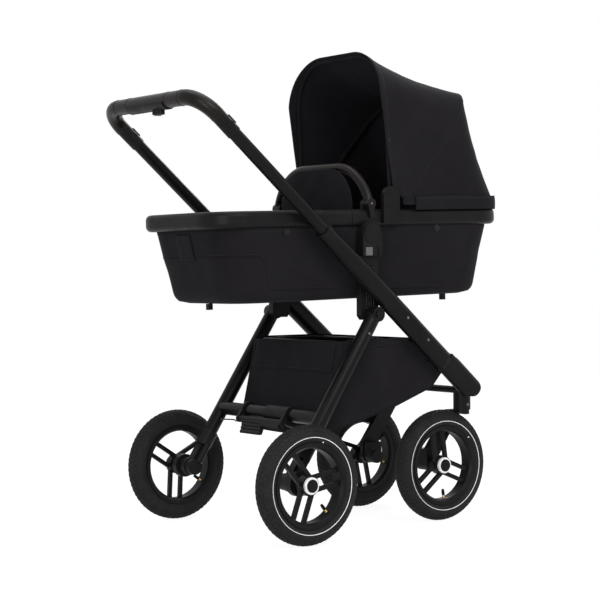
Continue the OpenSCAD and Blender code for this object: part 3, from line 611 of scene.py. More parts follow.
def turned_piece(name: str, profile: Sequence[tuple[float, float]], steps: int, place: Matrix,
                 material: bpy.types.Material, body: str,
                 closed: bool = False, sharp: float = 0.0) -> bpy.types.Object:
    """Builds one turned piece.

    Args:
        name: Name of the piece.
        profile: Pairs of radius and height along the axis.
        steps: Faces round the axis.
        place: Where the shape's Z axis goes.
        material: Its finish.
        body: The body it rides on.
        closed: Whether the profile is a loop.
        sharp: Angle in degrees over which edges stay crisp, or 0 for none.

    Returns:
        The new object.
    """
    bm = bmesh.new()
    add_turned(bm, profile, steps, place, closed)
    piece = finish_piece(name, bm, material, body)
    if sharp:
        sharpen(piece, sharp)
    return piece


def facing(origin: Sequence[float], way: Sequence[float]) -> Matrix:
    """Matrix that takes +Z at the origin to a way at a point.

    Args:
        origin: Point of the shape's origin.
        way: Direction of the shape's Z axis.

    Returns:
        The placement matrix.
    """
    turn = Vector(way).to_track_quat("Z", "Y").to_matrix().to_4x4()
    return Matrix.Translation(Vector(origin)) @ turn


def smooth_step(value: float) -> float:
    """Eases a 0 to 1 value, clamped."""
    value = min(1.0, max(0.0, value))
    return value * value * (3.0 - 2.0 * value)


def interpolate(table: Sequence[tuple[float, float]], at: float) -> float:
    """Reads a piecewise-linear table.

    Args:
        table: Pairs of place and value, in rising order of place.
        at: Place to read.

    Returns:
        The value there, held at the table's ends.
    """
    if at <= table[0][0]:
        return table[0][1]
    for (x0, y0), (x1, y1) in zip(table, table[1:]):
        if at <= x1:
            return y0 + (y1 - y0) * (at - x0) / (x1 - x0)
    return table[-1][1]


def sample(count: int, line: Callable[[float], Vector]) -> list[Vector]:
    """Points of a line at even shares from 0 to 1."""
    return [line(step / count) for step in range(count + 1)]


def walk(points: Sequence[Sequence[float]], share: float) -> Vector:
    """Point at a share of a polyline's length.

    Args:
        points: The polyline.
        share: 0 at its start, 1 at its end.

    Returns:
        The point.
    """
    spots = [Vector(point) for point in points]
    steps = [(b - a).length for a, b in zip(spots, spots[1:])]
    left = min(1.0, max(0.0, share)) * sum(steps)
    for start, end, step in zip(spots, spots[1:], steps):
        if left <= step:
            return start.lerp(end, left / step if step else 0.0)
        left -= step
    return spots[-1]


def length_of(path: Sequence[Vector]) -> float:
    """Length of a polyline."""
    return sum((b - a).length for a, b in zip(path, path[1:]))


def ripple(place: Sequence[float], scale: float, seed: float) -> float:
    """Smooth repeatable noise from -1 to 1."""
    return noise.noise(Vector(place) * scale + Vector((seed, seed * 0.7, -seed)))


def rounded_half(half: float, radius: float, beyond: float) -> float:
    """Half the width of a round-cornered panel, at a distance beyond its straight part."""
    return half - radius + math.sqrt(max(0.0, radius ** 2 - max(0.0, beyond) ** 2))


def add_stitches(bm: bmesh.types.BMesh, path: Sequence[Vector], pitch: float,
                 radius: float) -> None:
    """Adds a row of single stitches along a path.

    Args:
        bm: Mesh that takes the stitches.
        path: Points of the seam, on the cloth.
        pitch: Distance from one stitch to the next.
        radius: Half the thickness of the thread.
    """
    count = max(2, int(length_of(path) / pitch))
    for index in range(count):
        start = walk(path, (index + 0.18) / count)
        end = walk(path, (index + 0.82) / count)
        way = end - start
        if way.length < 1e-5:
            continue
        made = bmesh.ops.create_cube(bm, size=1.0)["verts"]
        size = Matrix.Diagonal((radius * 2.2, radius * 1.6, way.length, 1.0))
        bmesh.ops.transform(bm, matrix=facing((start + end) / 2, way) @ size, verts=made)


def stitch_piece(name: str, rows: Iterable[Sequence[Vector]], material: bpy.types.Material,
                 body: str | None, pitch: float = 0.0042,
                 radius: float = 0.00045) -> bpy.types.Object:
    """Builds one piece of stitch rows.

    Args:
        name: Name of the piece.
        rows: Points of each seam, on the cloth.
        material: Finish of the thread.
        body: The body it rides on, or None for a piece that rides on none.
        pitch: Distance from one stitch to the next.
        radius: Half the thickness of the thread.

    Returns:
        The new object.
    """
    bm = bmesh.new()
    for row in rows:
        add_stitches(bm, row, pitch, radius)
    return finish_piece(name, bm, material, body)


# ---------------------------------------------------------------- small fasteners


@dataclass(frozen=True)
class Fastener:
    """A button-head screw, a rivet or a snap stud on a surface."""

    name: str
    place: Sequence[float]
    way: Sequence[float]
    radius: float
    height: float
    body: str
    socket: bool = True

    def build(self, material: bpy.types.Material, slot: str) -> bpy.types.Object:
        """Builds the fastener.

        Args:
            material: Its finish.
            slot: Record slot of the finish. Not used.

        Returns:
            The new piece.
        """
        r, h = self.radius, self.height
        profile = [(0.0, h * 0.45), (r * 0.42, h * 0.45), (r * 0.46, h * 0.98), (r * 0.7, h),
                   (r * 0.93, h * 0.62), (r, h * 0.2), (r, -h * 0.4)]
        if not self.socket:
            profile = [(0.0, h), (r * 0.5, h * 0.93), (r * 0.85, h * 0.6), (r, h * 0.15),
                       (r, -h * 0.4)]
        return turned_piece(self.name, profile, 20, facing(self.place, self.way), material,
                            self.body, sharp=50.0)


# ---------------------------------------------------------------- studio


@dataclass
class Studio:
    """Camera, floor, lamps and world."""

    eye: Point = (-3.4123, 2.5328, 0.6328)
    yaw: float = 126.133
    pitch: float = -0.985
    roll: float = -0.422
    lens: float = 101.69
    aim: Point = (0.0, 0.0, 0.55)
    lamps: tuple[tuple[str, Point, float, float, float], ...] = (
        ("key_lamp", (-3.0, 0.4, 2.9), 2.2, 1.6, 70.0),
        ("side_lamp", (-2.6, 3.4, 1.2), 0.5, 2.2, 60.0),
        ("back_lamp", (1.6, -2.9, 2.4), 2.4, 1.4, 52.0),
        ("top_lamp", (0.0, 0.0, 3.4), 2.6, 2.6, 46.0),
    )
    fill_light: float = 0.55
    floor_grey: float = 0.93
    floor_glow: float = 1.12
    floor_share: float = 0.80

    def add_camera(self) -> None:
        """Places the camera."""
        yaw, pitch, roll = (math.radians(value) for value in (self.yaw, self.pitch, self.roll))
        ahead = Vector((math.cos(pitch) * math.sin(yaw), math.cos(pitch) * math.cos(yaw),
                        math.sin(pitch)))
        right = ahead.cross(Vector((0, 0, 1))).normalized()
        up = right.cross(ahead)
        rolled = Matrix((right * math.cos(roll) + up * math.sin(roll),
                         up * math.cos(roll) - right * math.sin(roll), -ahead))
        data = bpy.data.cameras.new("studio_camera")
        data.lens = self.lens
        data.sensor_width = 36.0
        data.clip_end = 100.0
        camera = bpy.data.objects.new("studio_camera", data)
        camera.matrix_world = Matrix.Translation(self.eye) @ rolled.transposed().to_4x4()
        bpy.context.scene.collection.objects.link(camera)
        bpy.context.scene.camera = camera

    def add_lamps(self) -> None:
        """Hangs the soft lamps round the pram."""
        for name, place, width, height, power in self.lamps:
            data = bpy.data.lights.new(name, "AREA")
            data.shape = "RECTANGLE"
            data.size, data.size_y = width, height
            data.energy = power
            lamp = bpy.data.objects.new(name, data)
            turn = (Vector(self.aim) - Vector(place)).to_track_quat("-Z", "Y")
            lamp.matrix_world = Matrix.Translation(place) @ turn.to_matrix().to_4x4()
            bpy.context.scene.collection.objects.link(lamp)

    @staticmethod
    def mix_seen(tree: bpy.types.NodeTree, lit: bpy.types.Node, seen: bpy.types.Node,
                 output: bpy.types.Node, share: float) -> None:
        """Shows one shader to camera, glossy and transmission rays and another to the rest.

        Args:
            tree: Node tree that takes the nodes.
            lit: Shader for the rays that carry light.
            seen: Shader for the rays that show the background.
            output: Output node of the tree.
            share: How much of the second shader those rays get.
        """
        path = tree.nodes.new("ShaderNodeLightPath")
        first, second, scaled = (tree.nodes.new("ShaderNodeMath") for _ in range(3))
        first.operation = second.operation = "MAXIMUM"
        scaled.operation = "MULTIPLY"
        scaled.inputs[1].default_value = share
        mix = tree.nodes.new("ShaderNodeMixShader")
        for source, target in (
                (path.outputs["Is Camera Ray"], first.inputs[0]),
                (path.outputs["Is Glossy Ray"], first.inputs[1]),
                (first.outputs[0], second.inputs[0]),
                (path.outputs["Is Transmission Ray"], second.inputs[1]),
                (second.outputs[0], scaled.inputs[0]),
                (scaled.outputs[0], mix.inputs["Fac"]),
                (lit.outputs[0], mix.inputs[1]),
                (seen.outputs[0], mix.inputs[2]),
                (mix.outputs[0], output.inputs["Surface"])):
            tree.links.new(source, target)

    def add_world(self) -> None:
        """White world where it is seen, softer where it lights."""
        world = bpy.data.worlds.new("studio_world")
        world.use_nodes = True
        tree = world.node_tree
        tree.nodes.clear()
        output = tree.nodes.new("ShaderNodeOutputWorld")
        light, shown = (tree.nodes.new("ShaderNodeBackground") for _ in range(2))
        for node, strength in ((light, self.fill_light), (shown, 1.0)):
            node.inputs["Strength"].default_value = strength
            node.inputs["Color"].default_value = (1.0, 1.0, 1.0, 1.0)
        self.mix_seen(tree, light, shown, output, 1.0)
        bpy.context.scene.world = world

    def add_floor(self) -> None:
        """White floor that keeps the shadow."""
        bm = bmesh.new()
        bmesh.ops.create_grid(bm, x_segments=8, y_segments=8, size=14.0)
        mesh = bpy.data.meshes.new("floor")
        bm.to_mesh(mesh)
        bm.free()
        floor = bpy.data.objects.new("floor", mesh)
        bpy.context.scene.collection.objects.link(floor)
        material = bpy.data.materials.new("studio_floor")
        material.use_nodes = True
        tree = material.node_tree
        tree.nodes.clear()
        output = tree.nodes.new("ShaderNodeOutputMaterial")
        matte = tree.nodes.new("ShaderNodeBsdfDiffuse")
        matte.inputs["Color"].default_value = (*[self.floor_grey] * 3, 1.0)
        glow = tree.nodes.new("ShaderNodeEmission")
        glow.inputs["Color"].default_value = (1.0, 1.0, 1.0, 1.0)
        glow.inputs["Strength"].default_value = self.floor_glow
        self.mix_seen(tree, matte, glow, output, self.floor_share)
        mesh.materials.append(material)

    def build(self) -> None:
        """Sets the studio round the pram, apart from the camera."""
        self.add_lamps()
        self.add_world()
        self.add_floor()
        bpy.context.scene.view_settings.view_transform = "Standard"


# ---------------------------------------------------------------- wheels


@dataclass
class Wheel:
    """Air tyre with tread blocks, ring, dots, valve and hub disc."""

    side: Side
    axle: Axle
    centre: Vector
    phase: float
    tyre_r: float = 0.0238
    ring_r: float = 0.116
    bead_r: float = 0.0985
    bead_half: float = 0.012
    tread_depth: float = 0.0013
    shoulder: float = math.radians(66)
    rib_depth: float = 0.0006
    ribs: tuple[tuple[float, float], ...] = ((1.22, 1.34), (1.62, 1.70))
    rows: tuple[float, ...] = (-52.0, -27.0, 0.0, 27.0, 52.0)
    blocks: int = 64

    @property
    def tag(self) -> str:
        """Ending of this wheel's piece names."""
        return f"{self.axle.value}_{self.side.label}"

    @property
    def body(self) -> str:
        """Body that the wheel's pieces ride on."""
        return f"{self.axle.value}_wheel_{self.side.label}"

    @property
    def frame(self) -> Matrix:
        """Placement of the wheel.

        Returns:
            Matrix whose Z axis points outwards along the axle and X forwards.
        """
        out = Vector((self.side.value, 0.0, 0.0))
        ahead = Vector((0.0, 1.0, 0.0))
        turn = Matrix((ahead, out.cross(ahead), out)).transposed().to_4x4()
        return Matrix.Translation(self.centre) @ turn

    def spoke_way(self, degrees: float) -> Matrix:
        """Turn about the axle by an angle from +Y towards +Z."""
        return Matrix.Rotation(math.radians(degrees) * self.side.value, 4, "Z")

    def carcass(self) -> list[tuple[float, float]]:
        """Section of the tyre without its tread blocks.

        Returns:
            Pairs of radius and height.
        """
        start = math.acos((self.bead_r - self.ring_r) / self.tyre_r)
        points = []
        for index in range(31):
            angle = -start + 2 * start * index / 30
            r = self.tyre_r if abs(angle) > self.shoulder else self.tyre_r - self.tread_depth
            if any(low < abs(angle) < high for low, high in self.ribs):
                r -= self.rib_depth
            points.append((self.ring_r + r * math.cos(angle), r * math.sin(angle)))
        return points + [(self.bead_r, self.bead_half), (self.bead_r, -self.bead_half)]

    def tread_row(self, number: int, tilt: float) -> bmesh.types.BMesh:
        """Builds one row of tread blocks round the tyre.

        Args:
            number: Number of the row.
            tilt: Angle of the row across the tread, in degrees.

        Returns:
            The mesh of the row.
        """
        block = bmesh.new()
        verts = bmesh.ops.create_cube(block, size=1.0)["verts"]
        wide = 0.0088 if tilt else 0.0078
        bmesh.ops.transform(block, matrix=Matrix.Diagonal((0.0034, 0.0088, wide, 1.0)),
                            verts=verts)
        top = [edge for edge in block.edges if all(vert.co.x > 0 for vert in edge.verts)]
        bmesh.ops.bevel(block, geom=top, offset=0.0009, offset_type="OFFSET", segments=1,
                        profile=0.5, affect="EDGES", material=-1)
        half_step = math.radians(180.0 / self.blocks) if number % 2 else 0.0
        lean = (Matrix.Rotation(half_step, 4, "Z")
                @ Matrix.Translation((self.ring_r, 0, 0))
                @ Matrix.Rotation(-math.radians(tilt), 4, "Y")
                @ Matrix.Translation((self.tyre_r - 0.0018, 0, 0)))
        bmesh.ops.transform(block, matrix=lean, verts=block.verts)
        copies = self.blocks - 1
        bmesh.ops.spin(block, geom=block.verts[:] + block.edges[:] + block.faces[:],
                       cent=(0, 0, 0), axis=(0, 0, 1), dvec=(0, 0, 0),
                       angle=math.tau * copies / self.blocks, steps=copies,
                       use_merge=False, use_duplicate=True)
        return block

    def build_tyre(self, wardrobe: Wardrobe) -> None:
        """Builds carcass and tread, which stand for the CAD tyre.

        Args:
            wardrobe: The finishes.
        """
        bm = bmesh.new()
        add_turned(bm, self.carcass(), 96, Matrix.Identity(4), closed=True)
        bmesh.ops.recalc_face_normals(bm, faces=bm.faces)
        for number, tilt in enumerate(self.rows):
            row = self.tread_row(number, tilt)
            mesh = bpy.data.meshes.new("tread")
            row.to_mesh(mesh)
            row.free()
            bm.from_mesh(mesh)
            bpy.data.meshes.remove(mesh)
        bmesh.ops.transform(bm, matrix=self.frame, verts=bm.verts)
        piece = finish_piece(f"tyre_tread_{self.tag}", bm, wardrobe.rubber, self.body)
        sharpen(piece, 38)
        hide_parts(f"{self.axle.value}_tyre_{self.side.label}")

    def build_trim(self, wardrobe: Wardrobe) -> None:
        """Builds the ring on the sidewall, the dot and the hub disc.

        Args:
            wardrobe: The finishes.
        """
        ring = [(0.1110, 0.0216), (0.1111, 0.0234), (0.1118, 0.0240), (0.1127, 0.0239),
                (0.1128, 0.0216)]
        turned_piece(f"ring_{self.tag}", ring, 96, self.frame, wardrobe.white, self.body,
                     closed=True)
        spot = self.frame @ self.spoke_way(self.phase + 58.0) @ Vector((0.1035, 0.0, 0.0203))
        dot = [(0.0, 0.0012), (0.0014, 0.0010), (0.0019, 0.0), (0.0019, -0.0008)]
        turned_piece(f"dot_{self.tag}", dot, 12, facing(spot, (self.side.value, 0, 0)),
                     wardrobe.white, self.body)
        disc = [(0.0, 0.0217), (0.0035, 0.0217), (0.0040, 0.0226), (0.0078, 0.0226),
                (0.0084, 0.0214), (0.0128, 0.0214), (0.0138, 0.0225), (0.0152, 0.0222),
                (0.0155, 0.0190)]
        turned_piece(f"hub_disc_{self.tag}", disc, 40, self.frame, wardrobe.plastic, self.body,
                     sharp=35.0)

    def build_valve(self, wardrobe: Wardrobe) -> None:
        """Builds the brass valve stem and its black cap.

        Args:
            wardrobe: The finishes.
        """
        spoke = self.frame @ self.spoke_way(self.phase + 180.0)
        place = facing(spoke @ Vector((0.0868, 0.0, 0.0)),
                       spoke.to_3x3() @ Vector((-1.0, 0.0, 0.0)))
        thread = [(0.0032 - 0.0004 * (index % 2), 0.0008 * index) for index in range(1, 12)]
        turned_piece(f"valve_stem_{self.tag}", [(0.0033, 0.0), *thread, (0.0, 0.0096)], 20,
                     place, wardrobe.brass, self.body, sharp=25.0)
        cap = [(0.0036, 0.0088), (0.0041, 0.0094), (0.0041, 0.0196), (0.0030, 0.0216),
               (0.0, 0.0218)]
        turned_piece(f"valve_cap_{self.tag}", cap, 20, place, wardrobe.plastic, self.body)

    def build(self, wardrobe: Wardrobe) -> None:
        """Builds the whole wheel.

        Args:
            wardrobe: The finishes.
        """
        self.build_tyre(wardrobe)
        self.build_trim(wardrobe)
        self.build_valve(wardrobe)


# ---------------------------------------------------------------- chassis


@dataclass
class Chassis:
    """Screws, ridges and clips of the main tubes and their caps."""

    origin: Vector = field(default_factory=lambda: Vector((0.212, -0.026774, 0.595)))
    along: Vector = field(default_factory=lambda: Vector((0.0, 0.75471, 0.65606)))
    above: Vector = field(default_factory=lambda: Vector((0.0, -0.65606, 0.75471)))
    half_wide: float = 0.018
    half_high: float = 0.025
    rivets: tuple[float, ...] = (-0.205, -0.120, 0.012)
    cap_beads: tuple[float, ...] = (-0.2915, -0.2865)
    ribs: tuple[float, ...] = (-0.0105, -0.0035, 0.0035, 0.0105)
    rib_base: Point = (0.1945, -0.0268, 0.520)
    screw_heights: tuple[float, ...] = (0.325, 0.290)

    def on_tube(self, side: Side, reach: float, turn: float,
                proud: float = 0.0) -> tuple[Vector, Vector]:
        """Point and outward way on the flat oval of a main tube.

        Args:
            side: Left or right tube.
            reach: Distance along the tube.
            turn: Angle round it, 0 outwards and 90 up, in degrees.
            proud: Distance off the surface.

        Returns:
            The point and the way.
        """
        angle = math.radians(turn)
        centre = 0.0
        if abs(math.sin(angle)) > 0.02:
            centre = math.copysign(self.half_high - self.half_wide, math.sin(angle))
        way = Vector((math.cos(angle) * side.value, 0, 0)) + self.above * math.sin(angle)
        base = Vector((self.origin.x * side.value, self.origin.y, self.origin.z))
        return (base + self.along * reach + self.above * centre
                + way * (self.half_wide + proud)), way

    def build_side(self, side: Side, wardrobe: Wardrobe) -> None:
        """Builds the cap's parting beads, the rivets, the ribs and the housing's screws.

        Args:
            side: Left or right tube.
            wardrobe: The finishes.
        """
        loops = [[self.on_tube(side, reach, turn * 15.0 + 1.0, 0.0002)[0] for turn in range(24)]
                 for reach in self.cap_beads]
        tube_piece(f"cap_bead_{side.label}", loops, 0.0009, wardrobe.gloss, "chassis",
                   closed=True)
        for number, reach in enumerate(self.rivets):
            button = number == len(self.rivets) - 1
            Fastener(f"tube_rivet_{side.label}_{number}", *self.on_tube(side, reach, 0.0),
                     0.0036, 0.0016, "chassis", button).build(
                         wardrobe.plastic if button else wardrobe.steel, "frame_metal")
        x, y, z = self.rib_base
        tube_piece(f"bracket_ribs_{side.label}",
                   [[(side.value * x, y + offset, z + step * 0.0105) for step in range(13)]
                    for offset in self.ribs],
                   0.0012, wardrobe.gloss, "chassis")
        for number, height in enumerate(self.screw_heights):
            Fastener(f"housing_screw_{side.label}_{number}",
                     (side.value * 0.1849, -0.348774, height), (side.value, 0, 0), 0.0038,
                     0.0014, "chassis").build(wardrobe.steel, "frame_plastic")

    def build(self, wardrobe: Wardrobe) -> None:
        """Builds the small parts of both tubes.

        Args:
            wardrobe: The finishes.
        """
        for side in Side:
            self.build_side(side, wardrobe)


@dataclass
class PushHandle:
    """Seams, stitches and end trims of the covered push bar."""

    bar_y: float = 0.47133
    bar_z: float = 1.028
    radius: float = 0.0185
    inner_end: float = 0.086
    outer_end: float = 0.142
    welt: float = 0.0014

    def add_welt(self, bm: bmesh.types.BMesh, at: float) -> None:
        """Adds one raised welt round the straight bar.

        Args:
            bm: Mesh that takes the welt.
            at: Its place along X.
        """
        low, high = self.radius - 0.0004, self.radius + 0.0007
        profile = [(low, -self.welt), (high, -self.welt * 0.5), (high, self.welt * 0.5),
                   (low, self.welt)]
        add_turned(bm, profile, 32, facing((at, self.bar_y, self.bar_z), (1, 0, 0)),
                   closed=True)

    def build(self, wardrobe: Wardrobe) -> None:
        """Builds the trims.

        Args:
            wardrobe: The finishes.
        """
        bm = bmesh.new()
        for at in (-self.inner_end, self.inner_end, -self.outer_end, self.outer_end):
            self.add_welt(bm, at)
        finish_piece("grip_welts", bm, wardrobe.grip, "handle")
        y, z = self.bar_y - self.radius * 0.80, self.bar_z - self.radius * 0.62
        rows = [sample(12, lambda share: Vector((start + 0.052 * share, y, z)))
                for start in (-0.140, 0.088)]
        stitch_piece("grip_stitches", rows, wardrobe.thread, "handle", 0.004, 0.0004)


@dataclass
class RearFrame:
    """Brake cables and leg trims of the folding rear frame."""

    route: tuple[Point, ...] = ((0.09605, 0.15975, 0.2622), (0.125, 0.15275, 0.2562),
                                (0.163, 0.13475, 0.2562), (0.19395, 0.1538, 0.2562))
    hinge: Point = (0.212, -0.026774, 0.527)
    down: Vector = field(default_factory=lambda: Vector((0.0, 0.5547, -0.83205)))
    cable_r: float = 0.00175
    beads: tuple[float, ...] = (0.3655, 0.4025)
    screws: tuple[float, ...] = (0.055, 0.345)
    leg_r: float = 0.0178

    def curve(self, side: Side, per_span: int = 14) -> list[Vector]:
        """Line of the cable through its route.

        Args:
            side: Left or right cable.
            per_span: Points between two route points.

        Returns:
            Points of the centreline.
        """
        spots = [Vector((x * side.value, y, z)) for x, y, z in self.route]
        out = []
        for index in range(len(spots) - 1):
            before = spots[max(0, index - 1)]
            a, b = spots[index], spots[index + 1]
            after = spots[min(len(spots) - 1, index + 2)]
            for step in range(per_span):
                t = step / per_span
                out.append(0.5 * ((2 * a) + (b - before) * t
                                  + (2 * before - 5 * a + 4 * b - after) * t * t
                                  + (3 * a - before - 3 * b + after) * t ** 3))
        return out + [spots[-1]]

    def build_side(self, side: Side, wardrobe: Wardrobe) -> None:
        """Builds a cable, the sleeve's beads and the leg's screws.

        Args:
            side: Left or right leg.
            wardrobe: The finishes.
        """
        path = self.curve(side)
        cable = tube_piece(f"brake_cable_{side.label}", [path], self.cable_r, wardrobe.cable,
                           "rear_frame", 12)
        if side is Side.LEFT:
            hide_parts("brake_cable")
        base = Vector((self.hinge[0] * side.value, self.hinge[1], self.hinge[2]))
        bm = bmesh.new()
        for reach in self.beads:
            add_turned(bm, [(0.0206, -0.001), (0.0216, 0.0), (0.0206, 0.001)], 32,
                       facing(base + self.down * reach, self.down), closed=True)
        finish_piece(f"leg_bead_{side.label}", bm, wardrobe.gloss, "rear_frame")
        for number, reach in enumerate(self.screws):
            spot = base + self.down * reach + Vector((side.value * self.leg_r, 0, 0))
            Fastener(f"leg_screw_{side.label}_{number}", spot, (side.value, 0, 0), 0.0034,
                     0.0014, "rear_frame").build(wardrobe.steel, "frame_metal")

    def build(self, wardrobe: Wardrobe) -> None:
        """Builds the small parts of both legs.

        Args:
            wardrobe: The finishes.
        """
        for side in Side:
            self.build_side(side, wardrobe)


# ---------------------------------------------------------------- basket


@dataclass
class Basket:
    """Cloth shopping basket that hangs from a wire loop and sags."""

    half: float = 0.184
    corner: float = 0.010
    rear_end: float = 0.30
    outline: tuple[tuple[float, float], ...] = (
        (0.0522, 0.460), (0.0760, 0.368), (0.1040, 0.252), (0.098, 0.238), (-0.0308, 0.272),
        (-0.1258, 0.298), (-0.2068, 0.327), (-0.2388, 0.339), (-0.2740, 0.378),
        (-0.1580, 0.466))
    wire: tuple[tuple[float, float], ...] = ((0.0522, 0.460), (0.030, 0.466), (-0.1580, 0.466))

    @staticmethod
    def along(line: Sequence[tuple[float, float]], u: float) -> Vector:
        """Point of an outline in the middle plane."""
        return walk([(0.0, y, z) for y, z in line], u)

    def wall(self, u: float, climb: float, side: float) -> Vector:
        """Place of a point of a side panel, which bellies in between its edges.

        Args:
            u: Share from the rear edge to the front edge.
            climb: Share from the bottom edge to the hem.
            side: 1 for the left panel, -1 for the right one.

        Returns:
            The point.
        """
        point = self.along(self.outline, u).lerp(self.along(self.wire, u), climb)
        point.x = side * self.half
        soft = math.sin(math.pi * climb) * math.sin(math.pi * u)
        fold = math.sin((u * 9.0 + climb * 1.6) * math.pi) * 0.0022 * soft
        point.x -= side * (0.004 * soft + fold + 0.0025 * soft * ripple(point, 16.0, 2.0))
        point.x -= side * self.corner * max(0.0, 1.0 - climb * 6.0) ** 2
        return point

    def bottom(self, u: float, across: float, side: float) -> Vector:
        """Place of a point of the rear panel or the floor, which sag between the sides.

        Args:
            u: Share from the rear edge to the front edge.
            across: Share from the middle to the side.
            side: 1 for the left half, -1 for the right one.

        Returns:
            The point.
        """
        point = self.along(self.outline, u)
        point.x = side * (self.half - self.corner) * across
        hang = (1.0 - across ** 2.4) * math.sin(math.pi * min(1.0, u * 1.02)) ** 0.8
        if u < self.rear_end:
            point.y -= 0.006 * hang
        else:
            point.z -= 0.009 * hang
        point.z += 0.0022 * ripple(point, 13.0, 5.0) * hang
        return point

    def place(self, u: float, v: float) -> Vector:
        """Place of a point of the basket's cloth.

        Args:
            u: Share from the rear edge along the bottom to the front edge.
            v: Share from one side's hem over the bottom to the other side's hem.

        Returns:
            The point.
        """
        side = -1.0 if v < 0.5 else 1.0
        reach = abs(v - 0.5) * 2
        if reach > 0.5:
            return self.wall(u, (reach - 0.5) / 0.5, side)
        return self.bottom(u, reach / 0.5, side)

    def side_hem(self, side: Side, u: float, v: float) -> Vector:
        """Point of the hem band over a side's top edge.

        Args:
            side: Left or right panel.
            u: Share from the rear edge to the front edge.
            v: Share from the band's lower edge to its upper one.

        Returns:
            The point.
        """
        spot = self.place(u, 0.5 + 0.5 * side.value - side.value * 0.028 * (1 - v))
        proud = 0.0008 + 0.0007 * math.sin(math.pi * v)
        return spot + Vector((side.value * proud, 0.0, 0.0))

    def rear_hem(self, u: float, v: float) -> Vector:
        """Point of the wide hem along the rear panel's top edge.

        Args:
            u: Share from the right side to the left one.
            v: Share from the band's upper edge to its lower one.

        Returns:
            The point.
        """
        proud = 0.0013 + 0.0011 * math.sin(math.pi * v) + 0.0009 * math.sin(u * 21.0) * v
        return self.place(0.098 * v, 0.262 + 0.476 * u) + Vector((0.0, proud, 0.0))

    @staticmethod
    def hang(piece: bpy.types.Object) -> None:
        """Bakes the placement of a piece of the basket into its mesh."""
        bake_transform(piece)

    def build_hems(self, wardrobe: Wardrobe) -> None:
        """Builds the hems of the sides and the rear panel, with their stitches.

        Args:
            wardrobe: The finishes.
        """
        for side in Side:
            bm = bmesh.new()
            add_sheet(bm, lambda u, v: self.side_hem(side, u, v), 80, 6)
            bmesh.ops.solidify(bm, geom=bm.faces[:], thickness=0.0014)
            self.hang(finish_piece(f"basket_hem_{side.label}", bm, wardrobe.band, None))
            seam = 0.5 + 0.5 * side.value - side.value * 0.025
            proud = Vector((side.value * 0.0016, 0, 0))
            row = sample(80, lambda u: self.place(u, seam) + proud)
            self.hang(stitch_piece(f"basket_stitches_{side.label}", [row], wardrobe.thread, None))
        bm, _ = thick_sheet(self.rear_hem, 80, 14, 0.0012)
        self.hang(finish_piece("basket_hem_rear", bm, wardrobe.band, None))
        row = sample(80, lambda u: self.rear_hem(u, 0.90) + Vector((0.0, 0.0009, 0.0)))
        self.hang(stitch_piece("basket_stitches_rear", [row], wardrobe.thread, None))

    def build(self, wardrobe: Wardrobe) -> None:
        """Builds cloth, hems, stitches and the piping of the lower edges.

        Args:
            wardrobe: The finishes.
        """
        bm, area = thick_sheet(self.place, 96, 72, 0.0018, SHEET_WELD)
        cloth = finish_piece("basket_cloth", bm, wardrobe.cloth, None)
        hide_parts("basket")
        self.hang(cloth)
        self.build_hems(wardrobe)
        edges = [sample(120, lambda share: self.place(0.02 + 0.96 * share, edge))
                 for edge in (0.248, 0.752)]
        self.hang(tube_piece("basket_piping", edges, 0.0016, wardrobe.band, None))


# ---------------------------------------------------------------- carrycot


@dataclass(frozen=True)
class RoundedLoop:
    """Rounded rectangle, walked from the middle of its foot end."""

    half_w: float
    half_l: float
    corner: float

    @property
    def half_length(self) -> float:
        """Length of half the loop."""
        return (2 * (self.half_w - self.corner) + math.pi * self.corner
                + 2 * (self.half_l - self.corner))

    def share_at(self, y: float) -> float:
        """Share at which the long side reaches a place along it."""
        walked = (self.half_w - self.corner + self.corner * math.pi / 2
                  + self.half_l - self.corner - y)
        return walked / self.half_length

    def walked(self, distance: float) -> tuple[float, float, float, float]:
        """Walks the half of the loop on the +X side.

        Args:
            distance: Distance walked from the middle of the foot end.

        Returns:
            Place x and y, and the outward way x and y.
        """
        end, side = self.half_w - self.corner, self.half_l - self.corner
        arc = self.corner * math.pi / 2
        if distance <= end:
            return distance, self.half_l, 0.0, 1.0
        distance -= end
        if distance <= arc:
            a = distance / self.corner
            return (end + self.corner * math.sin(a), side + self.corner * math.cos(a),
                    math.sin(a), math.cos(a))
        distance -= arc
        if distance <= 2 * side:
            return self.half_w, side - distance, 1.0, 0.0
        distance -= 2 * side
        if distance <= arc:
            a = distance / self.corner
            return (end + self.corner * math.cos(a), -side - self.corner * math.sin(a),
                    math.cos(a), -math.sin(a))
        return max(0.0, end - (distance - arc)), -self.half_l, 0.0, -1.0

    def at(self, share: float) -> tuple[float, float, float, float]:
        """Point and outward way at a share of the way round.

        Args:
            share: -1 to 1 round the loop from the head end over the foot end.

        Returns:
            Place x and y, and the outward way x and y.
        """
        sign = -1.0 if share < 0 else 1.0
        x, y, nx, ny = self.walked(abs(share) * self.half_length)
        return sign * x, y, sign * nx, ny


